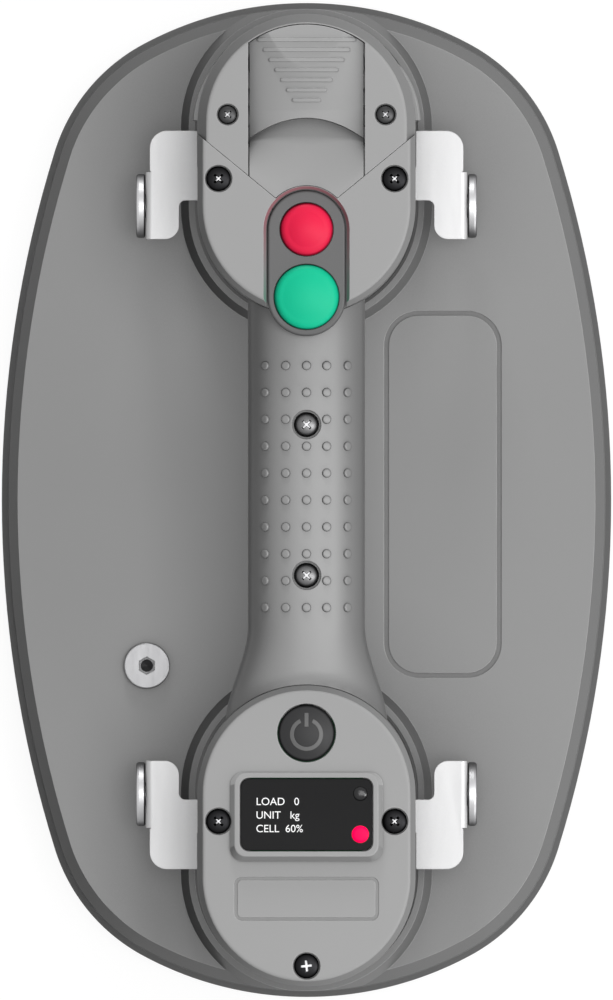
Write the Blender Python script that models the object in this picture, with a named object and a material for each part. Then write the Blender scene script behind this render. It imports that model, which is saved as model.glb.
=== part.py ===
"""Electric suction cup: a battery vacuum lifter with a foam-sealed plate, two pods and a bridging grip.

Everything is in metres, +Z up. The foam seal rests on z = 0. X is the width, Y the length: the front pod
with the battery is at +Y, the rear pod with the pump and the display at -Y, and the grip runs between them.
"""
import math

import bmesh
import bpy
from mathutils import Matrix, Vector

# Clearance between touching pieces, and the running clearance round pieces that move
GAP = 0.0003
RUN = 0.0005

# Suction plate
PLATE_HALF_WIDTH = 0.0981
PLATE_HALF_LENGTH = 0.160
CORNER_RADIUS = 0.0589
SIDE_BOW = 0.0144
END_BOW = 0.0063
PAN_THICKNESS = 0.012
PLATE_SHELL_HEIGHT = 0.0137
SHELL_WALL = 0.003
LIP_WIDTH = 0.0024
CHAMFER_SIDE = 0.0029
CHAMFER_END = 0.0050
CHAMFER_HEIGHT = 0.0028

# Foam seal
FOAM_PROUD = 0.010
FOAM_SEAT = 0.003
FOAM_WIDTH = 0.017
FOAM_INSET = 0.007

# Battery cells: three in a row and two beyond, nested
CELL_RADIUS = 0.009
CELL_HEIGHT = 0.064
CELL_PITCH = 2 * CELL_RADIUS + 0.0015
CELL_ROW_STEP = CELL_PITCH * 0.866
CELL_HEADROOM = 0.0041
CELL_CLEAR = 0.00187
PACK_WALL = 0.0024

# Pods, set in from the plate's ends, their rounds drawn about the outer two cells
POD_END = 0.0532
POD_CENTRE = PLATE_HALF_LENGTH - POD_END
POD_STRAIGHT = 0.0132
ROW_SET_IN = 0.0022
CELL_ROW_Y = POD_CENTRE + POD_STRAIGHT + ROW_SET_IN
POD_RADIUS = math.hypot(CELL_PITCH / 2, ROW_SET_IN + CELL_ROW_STEP) + CELL_RADIUS + CELL_CLEAR + PACK_WALL
POD_WALL = 0.0028
POD_FLOOR = 0.003
COVER_DEPTH = 0.0065
COVER_ROOF = 0.0028
COVER_CHAMFER = 0.0021
PACK_CHAMFER = 0.0032
COLLAR_FOOT = POD_RADIUS + 0.0056
COLLAR_RADIUS = POD_RADIUS + 0.0031
COLLAR_HEIGHT = 0.007

# Seam between the battery pack and the front pod: a V with its point at the button tray
SEAM_WIDE_X = POD_RADIUS - 0.0003
SEAM_WIDE_Y = POD_CENTRE + 0.0094
SEAM_POINT_X = 0.0091
SEAM_POINT_Y = POD_CENTRE - 0.0114

# Grip
GRIP_HALF_WIDTH = 0.01865
GRIP_HALF_HEIGHT = 0.0158
GRIP_SINK = 0.0002
GRIP_WALL = 0.0026
FLARE_START = POD_CENTRE - 0.0668
FLARE_LENGTH = 0.032
FLARE_GAIN = 0.0072
TONGUE_WIDTH = 0.020
TONGUE_HEIGHT = 0.009
TONGUE_REACH = 0.006
TONGUE_ROOT = 0.0130
GRIP_SCREW_Y = POD_CENTRE - 0.0828
GRIP_INLET = POD_RADIUS - 0.0167

# Buttons
RELEASE_Y = POD_CENTRE - 0.0207
RELEASE_RADIUS = 0.0085
SUCTION_Y = POD_CENTRE - 0.0422
SUCTION_RADIUS = 0.0104
POWER_Y = POD_CENTRE - 0.0327
POWER_RADIUS = 0.0090
BUTTON_TRAVEL = 0.0015
BUTTON_STEM = 0.002
TRAY_RADIUS = 0.0125
TRAY_THICKNESS = 0.0047
TRAY_LIP = 0.0009

# Battery pack
CHANNEL_HALF = 0.0182
RIB_PITCH = 0.0032
RIB_COUNT = 7
RIB_FIRST_Y = POD_CENTRE + 0.0396
RIB_FIRST_HALF = 0.0156
RIB_STEP_HALF = 0.0019
LATCH_LOW = 0.066
LATCH_TALL = 0.028
LATCH_START = 2.0
LATCH_SWEEP = 33.0
LATCH_DEPTH = 0.0021
PACK_FLOOR = 0.0030
RAIL_HALF = 0.006
RAIL_HEIGHT = 0.003
LID_SCREW_X = POD_RADIUS - 0.0096
LID_SCREW_Y = POD_CENTRE + 0.0158
SCOOP_FAR_Y = POD_CENTRE + 0.0148

# Display
BEZEL_HALF_WIDTH = POD_RADIUS - 0.0118
BEZEL_LENGTH = 0.0266
BEZEL_CENTRE_Y = POD_CENTRE - 0.0068
BEZEL_RISE = 0.0026
WINDOW_HALF_WIDTH = BEZEL_HALF_WIDTH - 0.0016
WINDOW_LENGTH = 0.0235
LAMP_X = WINDOW_HALF_WIDTH - 0.0042
LAMP_Y = POD_CENTRE - 0.0005
LAMP_RADIUS = 0.00275

# Lugs and screws
LUG_TOP = 0.066
LUG_SHEET = 0.0012
LUG_OUTER_X = POD_RADIUS + 0.0167
LUG_NEAR_Y = POD_CENTRE - 0.0233
LUG_MID_Y = POD_CENTRE - 0.0109
LUG_FAR_Y = POD_CENTRE + 0.0114
LUG_LEG_X = POD_RADIUS + 0.0061
LUG_INNER_X = POD_RADIUS - 0.0112
LUG_FLANGE_FAR_Y = POD_CENTRE - 0.0018
BOLT_HEAD_RADIUS = 0.01025
BOLT_HEAD_THICK = 0.0032
BOLT_SHANK = 0.0038
CLAMP_X = POD_RADIUS - 0.0067
CLAMP_Y = POD_CENTRE - 0.0046
SCREW_HEAD = 0.0040
SCREW_SHANK = 0.0018
SCREW_DROP = 0.0022
POST_RADIUS = 0.0044
COVER_SCREW_Y = POD_CENTRE + POD_STRAIGHT + POD_RADIUS - 0.0065
PAN_SCREW_CLEAR = 0.0141
PAN_SCREW_STEP = 0.0168

# Port plug, inlet and pump
PLUG_X = 0.0513
PLUG_Y = 0.0532
PLUG_RADIUS = 0.0074
PLUG_HEIGHT = 0.0024
INLET_Y = POD_CENTRE - 0.0168
FILTER_RADIUS = 0.012
FILTER_THICK = 0.003
HOSE_RADIUS = 0.0032
PUMP_Y = POD_CENTRE + 0.0092
MOTOR_RADIUS = 0.0135
MOTOR_HEIGHT = 0.034
HEAD_SIZE = 0.028
HEAD_HEIGHT = 0.020
CRANK_RADIUS = 0.009
CRANK_PIN_OFFSET = 0.004
BOARD_THICK = 0.0016
BOARD_HALF_WIDTH = 0.018
VALVE_X = POD_RADIUS - 0.0142
VALVE_Y = POD_CENTRE - 0.0228
VALVE_RADIUS = 0.0068
TERMINAL_HALF_WIDTH = 0.008
TERMINAL_Y = (POD_CENTRE - 0.0248, POD_CENTRE - 0.0138)
TERMINAL_HEIGHT = 0.0204
LOOM_RADIUS = 0.0022
LOOM_X = 0.0085

# Name panels
PANEL_X = (0.0249, 0.0627)
PANEL_Y = (0.0497 - POD_CENTRE, POD_CENTRE - 0.0460)
PANEL_CORNER = 0.0112
PANEL_GROOVE = 0.0016
BADGE_HALF_WIDTH = POD_RADIUS - 0.0117
BADGE_Y = (-POD_CENTRE - 0.0270, -POD_CENTRE - 0.0130)
BADGE_CORNER = 0.0025
BADGE_GROOVE = 0.0011
GROOVE_DEPTH = 0.0006

# Levels worked out from the sizes above
PAN_LOW = FOAM_PROUD
PAN_TOP = PAN_LOW + PAN_THICKNESS
SHELL_LOW = PAN_TOP + GAP
PLATE_TOP = SHELL_LOW + PLATE_SHELL_HEIGHT
ROOF_UNDER = PLATE_TOP - SHELL_WALL
COLLAR_TOP = PLATE_TOP + COLLAR_HEIGHT
HOUSING_LOW = PLATE_TOP + GAP
HOUSING_FLOOR = HOUSING_LOW + POD_FLOOR
PACK_LOW = COLLAR_TOP + RUN + 0.0008
PACK_FLOOR_Z = PACK_LOW + PACK_FLOOR + RAIL_HEIGHT
CELL_TOP = PACK_FLOOR_Z + GAP + CELL_HEIGHT
HOUSING_TOP = CELL_TOP + CELL_HEADROOM
COVER_LOW = HOUSING_TOP + GAP
POD_TOP = COVER_LOW + COVER_DEPTH
POD_INNER = POD_RADIUS - POD_WALL
GRIP_TOP = COVER_LOW - GRIP_SINK
GRIP_MIDDLE = GRIP_TOP - GRIP_HALF_HEIGHT
TRAY_TOP = POD_TOP - TRAY_LIP
TRAY_LOW = TRAY_TOP - TRAY_THICKNESS
CORNER_X = PLATE_HALF_WIDTH - SIDE_BOW - CORNER_RADIUS
CORNER_Y = PLATE_HALF_LENGTH - END_BOW - CORNER_RADIUS
PAN_SCREW_X = PLATE_HALF_WIDTH - FOAM_INSET - FOAM_WIDTH - PAN_SCREW_CLEAR
PAN_SCREW_Y = CORNER_Y - PAN_SCREW_STEP
SHANK_HOLE = SCREW_SHANK + GAP
TAB_FAR_Y = CLAMP_Y + POST_RADIUS

for leftover in list(bpy.data.objects):
    bpy.data.objects.remove(leftover, do_unlink=True)

model = bpy.data.collections.new("electric_suction_cup")
cutters = bpy.data.collections.new("cutters")
bpy.context.scene.collection.children.link(model)
bpy.context.scene.collection.children.link(cutters)


def material(name, colour, roughness, metallic=0.0):
    made = bpy.data.materials.new(name)
    made.use_nodes = True
    shader = made.node_tree.nodes["Principled BSDF"]
    shader.inputs["Base Color"].default_value = (*colour, 1.0)
    shader.inputs["Roughness"].default_value = roughness
    shader.inputs["Metallic"].default_value = metallic
    return made


GREY = material("grey_moulding", (0.30, 0.30, 0.30), 0.45)
DARK_GREY = material("dark_moulding", (0.10, 0.10, 0.10), 0.5)
FOAM = material("black_foam", (0.02, 0.02, 0.02), 0.95)
STEEL = material("bright_steel", (0.75, 0.75, 0.75), 0.25, 1.0)
BLACK_STEEL = material("black_steel", (0.02, 0.02, 0.02), 0.35, 1.0)
GREEN_RUBBER = material("green_rubber", (0.02, 0.62, 0.38), 0.45)
RED_RUBBER = material("red_rubber", (1.0, 0.03, 0.09), 0.45)
SCREEN = material("dark_glass", (0.01, 0.01, 0.01), 0.1)
BOARD = material("board_green", (0.02, 0.15, 0.05), 0.5)
CELL_WRAP = material("cell_wrap", (0.05, 0.2, 0.6), 0.4)


def add(name, bm, look, collection=model):
    """Turn a bmesh into a named object, with round edges shaded smooth and sharp ones kept."""
    bmesh.ops.recalc_face_normals(bm, faces=bm.faces)
    mesh = bpy.data.meshes.new(name)
    bm.to_mesh(mesh)
    bm.free()
    mesh.shade_smooth()
    mesh.set_sharp_from_angle(angle=math.radians(30))
    mesh.materials.append(look)
    made = bpy.data.objects.new(name, mesh)
    collection.objects.link(made)
    return made


def loft(name, rings, look, closed=False, collection=model):
    """Skin a stack of rings that all have the same number of points; cap the ends or join them."""
    bm = bmesh.new()
    rows = [[bm.verts.new(point) for point in ring] for ring in rings]
    pairs = list(zip(rows, rows[1:]))
    if closed:
        pairs.append((rows[-1], rows[0]))
    for low, high in pairs:
        count = len(low)
        for i in range(count):
            after = (i + 1) % count
            bm.faces.new((low[i], low[after], high[after], high[i]))
    if not closed:
        bm.faces.new(rows[0])
        bm.faces.new(rows[-1])
    return add(name, bm, look, collection)


def cut(target, cutter, operation="DIFFERENCE"):
    """Cut a piece with a hidden wire-display solid, or join or trim it with one."""
    cutter.hide_render = True
    cutter.display_type = "WIRE"
    modifier = target.modifiers.new(cutter.name, "BOOLEAN")
    modifier.operation = operation
    modifier.solver = "EXACT"
    modifier.object = cutter


def flat(outline, z):
    return [(x, y, z) for x, y in outline]


def prism(name, outline, low, high, look=GREY, collection=model):
    """A flat outline as a filled 2D curve with thickness, then made a mesh and welded."""
    curve = bpy.data.curves.new(name, "CURVE")
    curve.dimensions = "2D"
    curve.fill_mode = "BOTH"
    curve.extrude = (high - low) / 2
    spline = curve.splines.new("POLY")
    spline.points.add(len(outline) - 1)
    for point, (x, y) in zip(spline.points, outline):
        point.co = (x, y, 0.0, 1.0)
    spline.use_cyclic_u = True
    drawn = bpy.data.objects.new(name + "_outline", curve)
    drawn.location.z = (low + high) / 2
    return curve_to_mesh(drawn, name, look, collection)


def curve_to_mesh(drawn, name, look, collection=model):
    bpy.context.scene.collection.objects.link(drawn)
    bpy.context.view_layer.update()
    evaluated = drawn.evaluated_get(bpy.context.evaluated_depsgraph_get())
    mesh = bpy.data.meshes.new_from_object(evaluated)
    mesh.transform(drawn.matrix_world)
    bm = bmesh.new()
    bm.from_mesh(mesh)
    bmesh.ops.remove_doubles(bm, verts=bm.verts, dist=0.000005)
    bpy.data.objects.remove(drawn, do_unlink=True)
    bpy.data.meshes.remove(mesh)
    return add(name, bm, look, collection)


def cylinder(name, centre, radius, low, high, look=STEEL, sides=12, collection=model, top_radius=None):
    """An upright cylinder or cone between two heights."""
    bm = bmesh.new()
    middle = Matrix.Translation((centre[0], centre[1], (low + high) / 2))
    bmesh.ops.create_cone(
        bm, cap_ends=True, segments=sides, radius1=radius,
        radius2=radius if top_radius is None else top_radius, depth=high - low, matrix=middle,
    )
    return add(name, bm, look, collection)


def block(name, low, high, look=GREY, collection=model):
    bm = bmesh.new()
    size = [b - a for a, b in zip(low, high)]
    middle = [(a + b) / 2 for a, b in zip(low, high)]
    bmesh.ops.create_cube(bm, size=1.0, matrix=Matrix.Translation(middle) @ Matrix.Diagonal((*size, 1.0)))
    return add(name, bm, look, collection)


def turned(name, centre, profile, look, sides=12, collection=model):
    """A solid of revolution about a vertical axis, from (radius, height) pairs listed bottom to top."""
    rings = []
    for radius, z in profile:
        rings.append([
            (centre[0] + radius * math.cos(2 * math.pi * i / sides),
             centre[1] + radius * math.sin(2 * math.pi * i / sides), z)
            for i in range(sides)
        ])
    return loft(name, rings, look, collection=collection)


def arc(cx, cy, radius, start, end, steps):
    """Points on an arc, angles in degrees, both ends included."""
    points = []
    for i in range(steps + 1):
        angle = math.radians(start + (end - start) * i / steps)
        points.append((cx + radius * math.cos(angle), cy + radius * math.sin(angle)))
    return points


def stadium(radius, centre_y, straight=POD_STRAIGHT, steps=12):
    """Two half circles joined by straights along Y."""
    return arc(0, centre_y + straight, radius, 0, 180, steps) + arc(
        0, centre_y - straight, radius, 180, 360, steps)


def rounded(x0, x1, y0, y1, radius, steps=3):
    """A rectangle with round corners."""
    corners = ((x1, y1, 0), (x0, y1, 90), (x0, y0, 180), (x1, y0, 270))
    points = []
    for x, y, start in corners:
        cx = x - radius if x == x1 else x + radius
        cy = y - radius if y == y1 else y + radius
        points += arc(cx, cy, radius, start, start + 90, steps)
    return points


def plate_points(inset_side, inset_end=None):
    """The plate outline: long side arc, corner arc and end arc, tangent to each other, in four quarters.

    The inset may differ between the sides and the ends; it follows the outline's direction.
    """
    inset_end = inset_side if inset_end is None else inset_end
    u = CORNER_X - PLATE_HALF_WIDTH
    v = CORNER_Y - PLATE_HALF_LENGTH
    side = (CORNER_RADIUS ** 2 - u ** 2 - CORNER_Y ** 2) / (2 * (u + CORNER_RADIUS))
    end = (CORNER_RADIUS ** 2 - v ** 2 - CORNER_X ** 2) / (2 * (v + CORNER_RADIUS))
    side_centre = Vector((PLATE_HALF_WIDTH - side, 0))
    end_centre = Vector((0, PLATE_HALF_LENGTH - end))
    corner = Vector((CORNER_X, CORNER_Y))
    first = math.atan2(corner.y - side_centre.y, corner.x - side_centre.x)
    second = math.atan2(corner.y - end_centre.y, corner.x - end_centre.x)
    stretches = (
        (side_centre, side, 0.0, first, 3),
        (corner, CORNER_RADIUS, first, second, 5),
        (end_centre, end, second, math.pi / 2, 3),
    )
    quarter = []
    for centre, radius, start, stop, steps in stretches:
        for i in range(steps):
            angle = start + (stop - start) * i / steps
            normal = Vector((math.cos(angle), math.sin(angle)))
            inset = inset_side + (inset_end - inset_side) * min(1.0, normal.y * 1.4)
            quarter.append(centre + normal * (radius - inset))
    top = Vector((0, PLATE_HALF_LENGTH - inset_end))
    points = [(p.x, p.y) for p in quarter] + [(top.x, top.y)]
    points += [(-p.x, p.y) for p in reversed(quarter)]
    lower = [(-p.x, -p.y) for p in quarter[1:]] + [(top.x, -top.y)]
    lower += [(p.x, -p.y) for p in reversed(quarter[1:])]
    return points + lower


def seam_y(x, shift=0.0):
    """Height of the V seam along Y at a distance x from the middle, moved along Y by shift."""
    slope = (SEAM_WIDE_Y - SEAM_POINT_Y) / (SEAM_WIDE_X - SEAM_POINT_X)
    return SEAM_POINT_Y + (abs(x) - SEAM_POINT_X) * slope + shift


def seam_region(shift, radius, front, steps=8):
    """The region beyond the V seam (front) or before it, with the round arch of the button tray.

    shift moves the V along Y, radius is the arch's radius about the release button.
    """
    far = 0.09
    slope = (SEAM_WIDE_Y - SEAM_POINT_Y) / (SEAM_WIDE_X - SEAM_POINT_X)
    base = seam_y(0.0, shift) - RELEASE_Y
    a = 1 + slope ** 2
    b = 2 * slope * base
    c = base ** 2 - radius ** 2
    meet = (-b + math.sqrt(b * b - 4 * a * c)) / (2 * a)
    start = math.degrees(math.atan2(seam_y(meet, shift) - RELEASE_Y, meet))
    arch = arc(0, RELEASE_Y, radius, start, 180 - start, steps)
    wide = 0.06
    line = [(wide, seam_y(wide, shift))] + arch + [(-wide, seam_y(wide, shift))]
    if front:
        return line + [(-wide, POD_CENTRE + far), (wide, POD_CENTRE + far)]
    return line + [(-wide, 0.0), (wide, 0.0)]


# Foam seal ring, seated in a groove of the pan, with softened lower edges
foam_rings = (
    (FOAM_INSET + 0.0015, 0.0),
    (FOAM_INSET, 0.0015),
    (FOAM_INSET, PAN_LOW + FOAM_SEAT - GAP),
    (FOAM_INSET + FOAM_WIDTH, PAN_LOW + FOAM_SEAT - GAP),
    (FOAM_INSET + FOAM_WIDTH, 0.0015),
    (FOAM_INSET + FOAM_WIDTH - 0.0015, 0.0),
)
loft("seal_foam", [flat(plate_points(inset), z) for inset, z in foam_rings], FOAM, closed=True)

# Pan: the lower plate whose lip shows outside the seam line
groove_in = FOAM_INSET + FOAM_WIDTH + GAP
groove_out = FOAM_INSET - GAP
EDGE_BREAK = 0.0008
pan_rings = (
    (groove_in, PAN_LOW),
    (groove_in, PAN_LOW + FOAM_SEAT),
    (groove_out, PAN_LOW + FOAM_SEAT),
    (groove_out, PAN_LOW),
    (EDGE_BREAK, PAN_LOW),
    (0.0, PAN_LOW + EDGE_BREAK),
    (0.0, PAN_TOP - EDGE_BREAK),
    (EDGE_BREAK, PAN_TOP),
)
pan = loft("base_pan", [flat(plate_points(inset), z) for inset, z in pan_rings], GREY)
inlet = (0.0, -INLET_Y)
cut(pan, cylinder("inlet_pocket", inlet, FILTER_RADIUS + GAP, PAN_LOW - 0.002, PAN_LOW + FILTER_THICK + GAP,
                  collection=cutters, sides=20))
cut(pan, cylinder("inlet_bore", inlet, HOSE_RADIUS, PAN_LOW, PAN_TOP + 0.002, collection=cutters))
cylinder("inlet_filter", inlet, FILTER_RADIUS, PAN_LOW, PAN_LOW + FILTER_THICK, FOAM, sides=20)
barb_top = PLATE_TOP - 0.002
turned("inlet_barb", inlet, (
    (HOSE_RADIUS - 0.0006, PAN_TOP - 0.004),
    (HOSE_RADIUS - 0.0006, PAN_TOP + GAP),
    (HOSE_RADIUS + 0.002, PAN_TOP + GAP),
    (HOSE_RADIUS + 0.002, PAN_TOP + 0.003),
    (HOSE_RADIUS - 0.0004, PAN_TOP + 0.003),
    (HOSE_RADIUS - 0.0004, barb_top),
), STEEL, sides=14)

# Plate shell: open below, chamfered above, with the two pod collars and the port boss
shell_rings = (
    (LIP_WIDTH + SHELL_WALL, LIP_WIDTH + SHELL_WALL, ROOF_UNDER),
    (LIP_WIDTH + SHELL_WALL, LIP_WIDTH + SHELL_WALL, SHELL_LOW),
    (LIP_WIDTH, LIP_WIDTH, SHELL_LOW),
    (LIP_WIDTH, LIP_WIDTH, PLATE_TOP - CHAMFER_HEIGHT),
    (LIP_WIDTH + CHAMFER_SIDE, LIP_WIDTH + CHAMFER_END, PLATE_TOP),
)
shell = loft("base_shell", [flat(plate_points(a, b), z) for a, b, z in shell_rings], GREY)
for label, sign in (("front", 1), ("rear", -1)):
    centre_y = sign * POD_CENTRE
    collar = loft(label + "_collar", [
        flat(stadium(COLLAR_FOOT, centre_y), PLATE_TOP - 0.001),
        flat(stadium(COLLAR_FOOT, centre_y), PLATE_TOP),
        flat(stadium(COLLAR_RADIUS, centre_y), COLLAR_TOP),
    ], GREY, collection=cutters)
    cut(collar, prism(label + "_collar_trim", plate_points(LIP_WIDTH + 0.00005), PLATE_TOP - 0.01,
                      COLLAR_TOP + 0.01, collection=cutters), "INTERSECT")
    cut(shell, collar, "UNION")
    cut(shell, prism(label + "_socket", stadium(POD_RADIUS + GAP, centre_y), PLATE_TOP,
                     COLLAR_TOP + 0.004, collection=cutters))
    cut(shell, prism(label + "_duct", stadium(0.014, centre_y, steps=8), ROOF_UNDER - 0.002,
                     PLATE_TOP + 0.002, collection=cutters))
plug_centre = (-PLUG_X, -PLUG_Y)
cut(shell, cylinder("port_boss", plug_centre, PLUG_RADIUS + 0.001, SHELL_LOW, ROOF_UNDER + 0.001,
                    collection=cutters), "UNION")
cut(shell, cylinder("port_bore", plug_centre, PLUG_RADIUS * 0.65, SHELL_LOW - 0.002, PLATE_TOP + 0.002,
                    collection=cutters))
panel_outer = rounded(*PANEL_X, *PANEL_Y, PANEL_CORNER)
panel_inner = rounded(PANEL_X[0] + PANEL_GROOVE, PANEL_X[1] - PANEL_GROOVE, PANEL_Y[0] + PANEL_GROOVE,
                      PANEL_Y[1] - PANEL_GROOVE, PANEL_CORNER - PANEL_GROOVE)
groove_floor = PLATE_TOP - GROOVE_DEPTH
cut(shell, loft("panel_groove", [
    flat(panel_outer, PLATE_TOP + 0.001), flat(panel_outer, groove_floor),
    flat(panel_inner, groove_floor), flat(panel_inner, PLATE_TOP + 0.001),
], GREY, closed=True, collection=cutters))

# Pan screws, driven up from below into posts under the shell's roof
number = 0
for sx in (-1, 1):
    for sy in (-1, 1):
        number += 1
        spot = (sx * PAN_SCREW_X, sy * PAN_SCREW_Y)
        cut(shell, cylinder(f"pan_post_{number}", spot, POST_RADIUS, SHELL_LOW, ROOF_UNDER + 0.001,
                            collection=cutters), "UNION")
        cut(shell, cylinder(f"pan_post_hole_{number}", spot, SHANK_HOLE, SHELL_LOW - 0.001,
                            ROOF_UNDER - 0.001, collection=cutters, sides=10))
        cut(pan, cylinder(f"pan_counterbore_{number}", spot, SCREW_HEAD + GAP, PAN_LOW - 0.001,
                          PAN_LOW + SCREW_DROP + 0.001, collection=cutters))
        cut(pan, cylinder(f"pan_clearance_{number}", spot, SHANK_HOLE, PAN_LOW, PAN_TOP + 0.001,
                          collection=cutters, sides=10))
        head_top = PAN_LOW + SCREW_DROP + 0.001 - GAP
        turned(f"pan_screw_{number}", spot, (
            (SCREW_HEAD * 0.8, PAN_LOW + 0.0004), (SCREW_HEAD, PAN_LOW + 0.001), (SCREW_HEAD, head_top),
            (SCREW_SHANK, head_top), (SCREW_SHANK, ROOF_UNDER - 0.0016),
        ), STEEL, sides=10)

# Low hex-socket plug of the spare vacuum port, on the plate near the rear pod
turned("port_plug", plug_centre, (
    (PLUG_RADIUS * 0.6, SHELL_LOW), (PLUG_RADIUS * 0.6, PLATE_TOP + GAP), (PLUG_RADIUS, PLATE_TOP + GAP),
    (PLUG_RADIUS, PLATE_TOP + PLUG_HEIGHT - 0.0005), (PLUG_RADIUS - 0.0006, PLATE_TOP + PLUG_HEIGHT),
), STEEL, sides=20)
HEX_CORNER = 0.0038
cut(bpy.data.objects["port_plug"], cylinder(
    "plug_hex", plug_centre, HEX_CORNER, PLATE_TOP - 0.001, PLATE_TOP + PLUG_HEIGHT + 0.001, sides=6,
    collection=cutters))


def lug_outline():
    """Flat outline of the lug's top sheet in the +X +Y quarter, with its narrower tab inside the pod."""
    outer = LUG_OUTER_X - LUG_SHEET
    wall = POD_RADIUS + GAP
    points = [(wall, LUG_FAR_Y), (wall, TAB_FAR_Y), (CLAMP_X, TAB_FAR_Y), (LUG_INNER_X, CLAMP_Y)]
    points += [(LUG_INNER_X, LUG_MID_Y)]
    points += arc(LUG_LEG_X - 0.002, LUG_MID_Y - 0.002, 0.002, 90, 0, 3)
    points += arc(LUG_LEG_X + 0.0045, LUG_NEAR_Y + 0.0045, 0.0045, 180, 270, 4)
    points += [(outer, LUG_NEAR_Y)]
    points += arc(outer - 0.0055, LUG_FAR_Y - 0.0055, 0.0055, 0, 90, 4)
    return points


def place(outline, sx, sy):
    """Copy an outline into another quarter of the plan."""
    moved = [(sx * x, sy * y) for x, y in outline]
    return moved if sx * sy > 0 else list(reversed(moved))


bolt_y = (LUG_NEAR_Y + LUG_FLANGE_FAR_Y) / 2
bolt_z = LUG_TOP - BOLT_HEAD_RADIUS - 0.0008
flange_low = bolt_z - BOLT_HEAD_RADIUS


NUT_RADIUS = 0.0064
NUT_THICK = 0.004
for sx, side in ((-1, "left"), (1, "right")):
    for sy, end in ((-1, "rear"), (1, "front")):
        name = f"{end}_{side}"
        lug = prism("lug_" + name, place(lug_outline(), sx, sy), LUG_TOP - LUG_SHEET, LUG_TOP, STEEL)
        near = sorted((sx * (LUG_OUTER_X - 2 * LUG_SHEET), sx * LUG_OUTER_X))
        ends = sorted((sy * LUG_NEAR_Y, sy * LUG_FLANGE_FAR_Y))
        cut(lug, block("flange_" + name, (near[0], ends[0], flange_low), (near[1], ends[1], LUG_TOP - 0.0004),
                       collection=cutters), "UNION")
        inside = sx * (LUG_OUTER_X - 1.5 * LUG_SHEET)
        turn = 1 if sx > 0 else -1
        nut = turned("nut_" + name, (0, 0), ((NUT_RADIUS, -NUT_THICK), (NUT_RADIUS, 0.0)), STEEL, 6, cutters)
        nut.matrix_world = Matrix.Translation((inside, sy * bolt_y, bolt_z)) @ Matrix.Rotation(
            turn * math.pi / 2, 4, "Y")
        cut(lug, nut, "UNION")
        bore = turned("bore_" + name, (0, 0), ((BOLT_SHANK + GAP, -0.01), (BOLT_SHANK + GAP, 0.01)), STEEL, 16,
                      cutters)
        bore.matrix_world = nut.matrix_world
        cut(lug, bore)
        cut(lug, cylinder("clamp_bore_" + name, (sx * CLAMP_X, sy * CLAMP_Y), SHANK_HOLE,
                          LUG_TOP - 0.01, LUG_TOP + 0.01, collection=cutters, sides=10))
        bolt = turned("lug_bolt_" + name, (0, 0), (
            (BOLT_SHANK, -0.0072), (BOLT_SHANK, GAP), (BOLT_HEAD_RADIUS - 0.0004, GAP),
            (BOLT_HEAD_RADIUS, 0.0008), (BOLT_HEAD_RADIUS - 0.0003, BOLT_HEAD_THICK * 0.5),
            (BOLT_HEAD_RADIUS, BOLT_HEAD_THICK - 0.0005), (BOLT_HEAD_RADIUS - 0.0006, BOLT_HEAD_THICK),
        ), STEEL, 14)
        bolt.matrix_world = Matrix.Translation((sx * LUG_OUTER_X, sy * bolt_y, bolt_z)) @ Matrix.Rotation(
            turn * math.pi / 2, 4, "Y")


def posts(target, sign, label):
    """Two posts inside a pod for the clamp screws, each split by the lug's sheet, and the lug slots."""
    for sx, side in ((-1, "left"), (1, "right")):
        spot = (sx * CLAMP_X, sign * CLAMP_Y)
        for piece, low, high in (("low", HOUSING_FLOOR - 0.001, LUG_TOP - LUG_SHEET - GAP),
                                 ("high", LUG_TOP + GAP, HOUSING_TOP)):
            post = cylinder(f"{label}_post_{side}_{piece}", spot, POST_RADIUS, low, high,
                            collection=cutters, sides=10)
            cut(target, post, "UNION")
        cut(target, cylinder(f"{label}_post_bore_{side}", spot, SHANK_HOLE, LUG_TOP - 0.010,
                             HOUSING_TOP + 0.002, collection=cutters, sides=10))
        ends = sorted((sx * (POD_INNER - 0.0075), sx * (POD_RADIUS + 0.01)))
        wide = sorted((sign * (LUG_MID_Y - GAP), sign * (TAB_FAR_Y + GAP)))
        cut(target, block(f"{label}_lug_slot_{side}", (ends[0], wide[0], LUG_TOP - LUG_SHEET - GAP),
                          (ends[1], wide[1], LUG_TOP + GAP), collection=cutters))


# Rear housing: a tall oval tub with a hose hole in its floor and a window for the grip's tongue
def tub(name, centre_y, look=GREY):
    return loft(name, [
        flat(stadium(POD_RADIUS, centre_y), HOUSING_LOW),
        flat(stadium(POD_RADIUS, centre_y), HOUSING_TOP),
        flat(stadium(POD_INNER, centre_y), HOUSING_TOP),
        flat(stadium(POD_INNER, centre_y), HOUSING_FLOOR),
    ], look)


tongue_low = GRIP_MIDDLE - TONGUE_HEIGHT
rear_wall_y = POD_CENTRE - POD_STRAIGHT - POD_RADIUS


def tongue_window(target, sign, label):
    ends = sorted((sign * (rear_wall_y - 0.004), sign * (rear_wall_y + POD_WALL + 0.006)))
    half = TONGUE_WIDTH / 2 + GAP
    cut(target, block(label + "_window", (-half, ends[0], tongue_low - GAP),
                      (half, ends[1], GRIP_MIDDLE - 0.002 + GAP), collection=cutters))


rear = tub("rear_housing", -POD_CENTRE)
posts(rear, -1, "rear")
tongue_window(rear, -1, "rear")
cut(rear, cylinder("hose_hole", inlet, HOSE_RADIUS + 0.001, HOUSING_LOW - 0.002, HOUSING_FLOOR + 0.002,
                   collection=cutters))

# Rear cover: a shallow cap with a chamfered edge, holes for the power button, display and screws
COVER_INNER = POD_INNER - GAP


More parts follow.
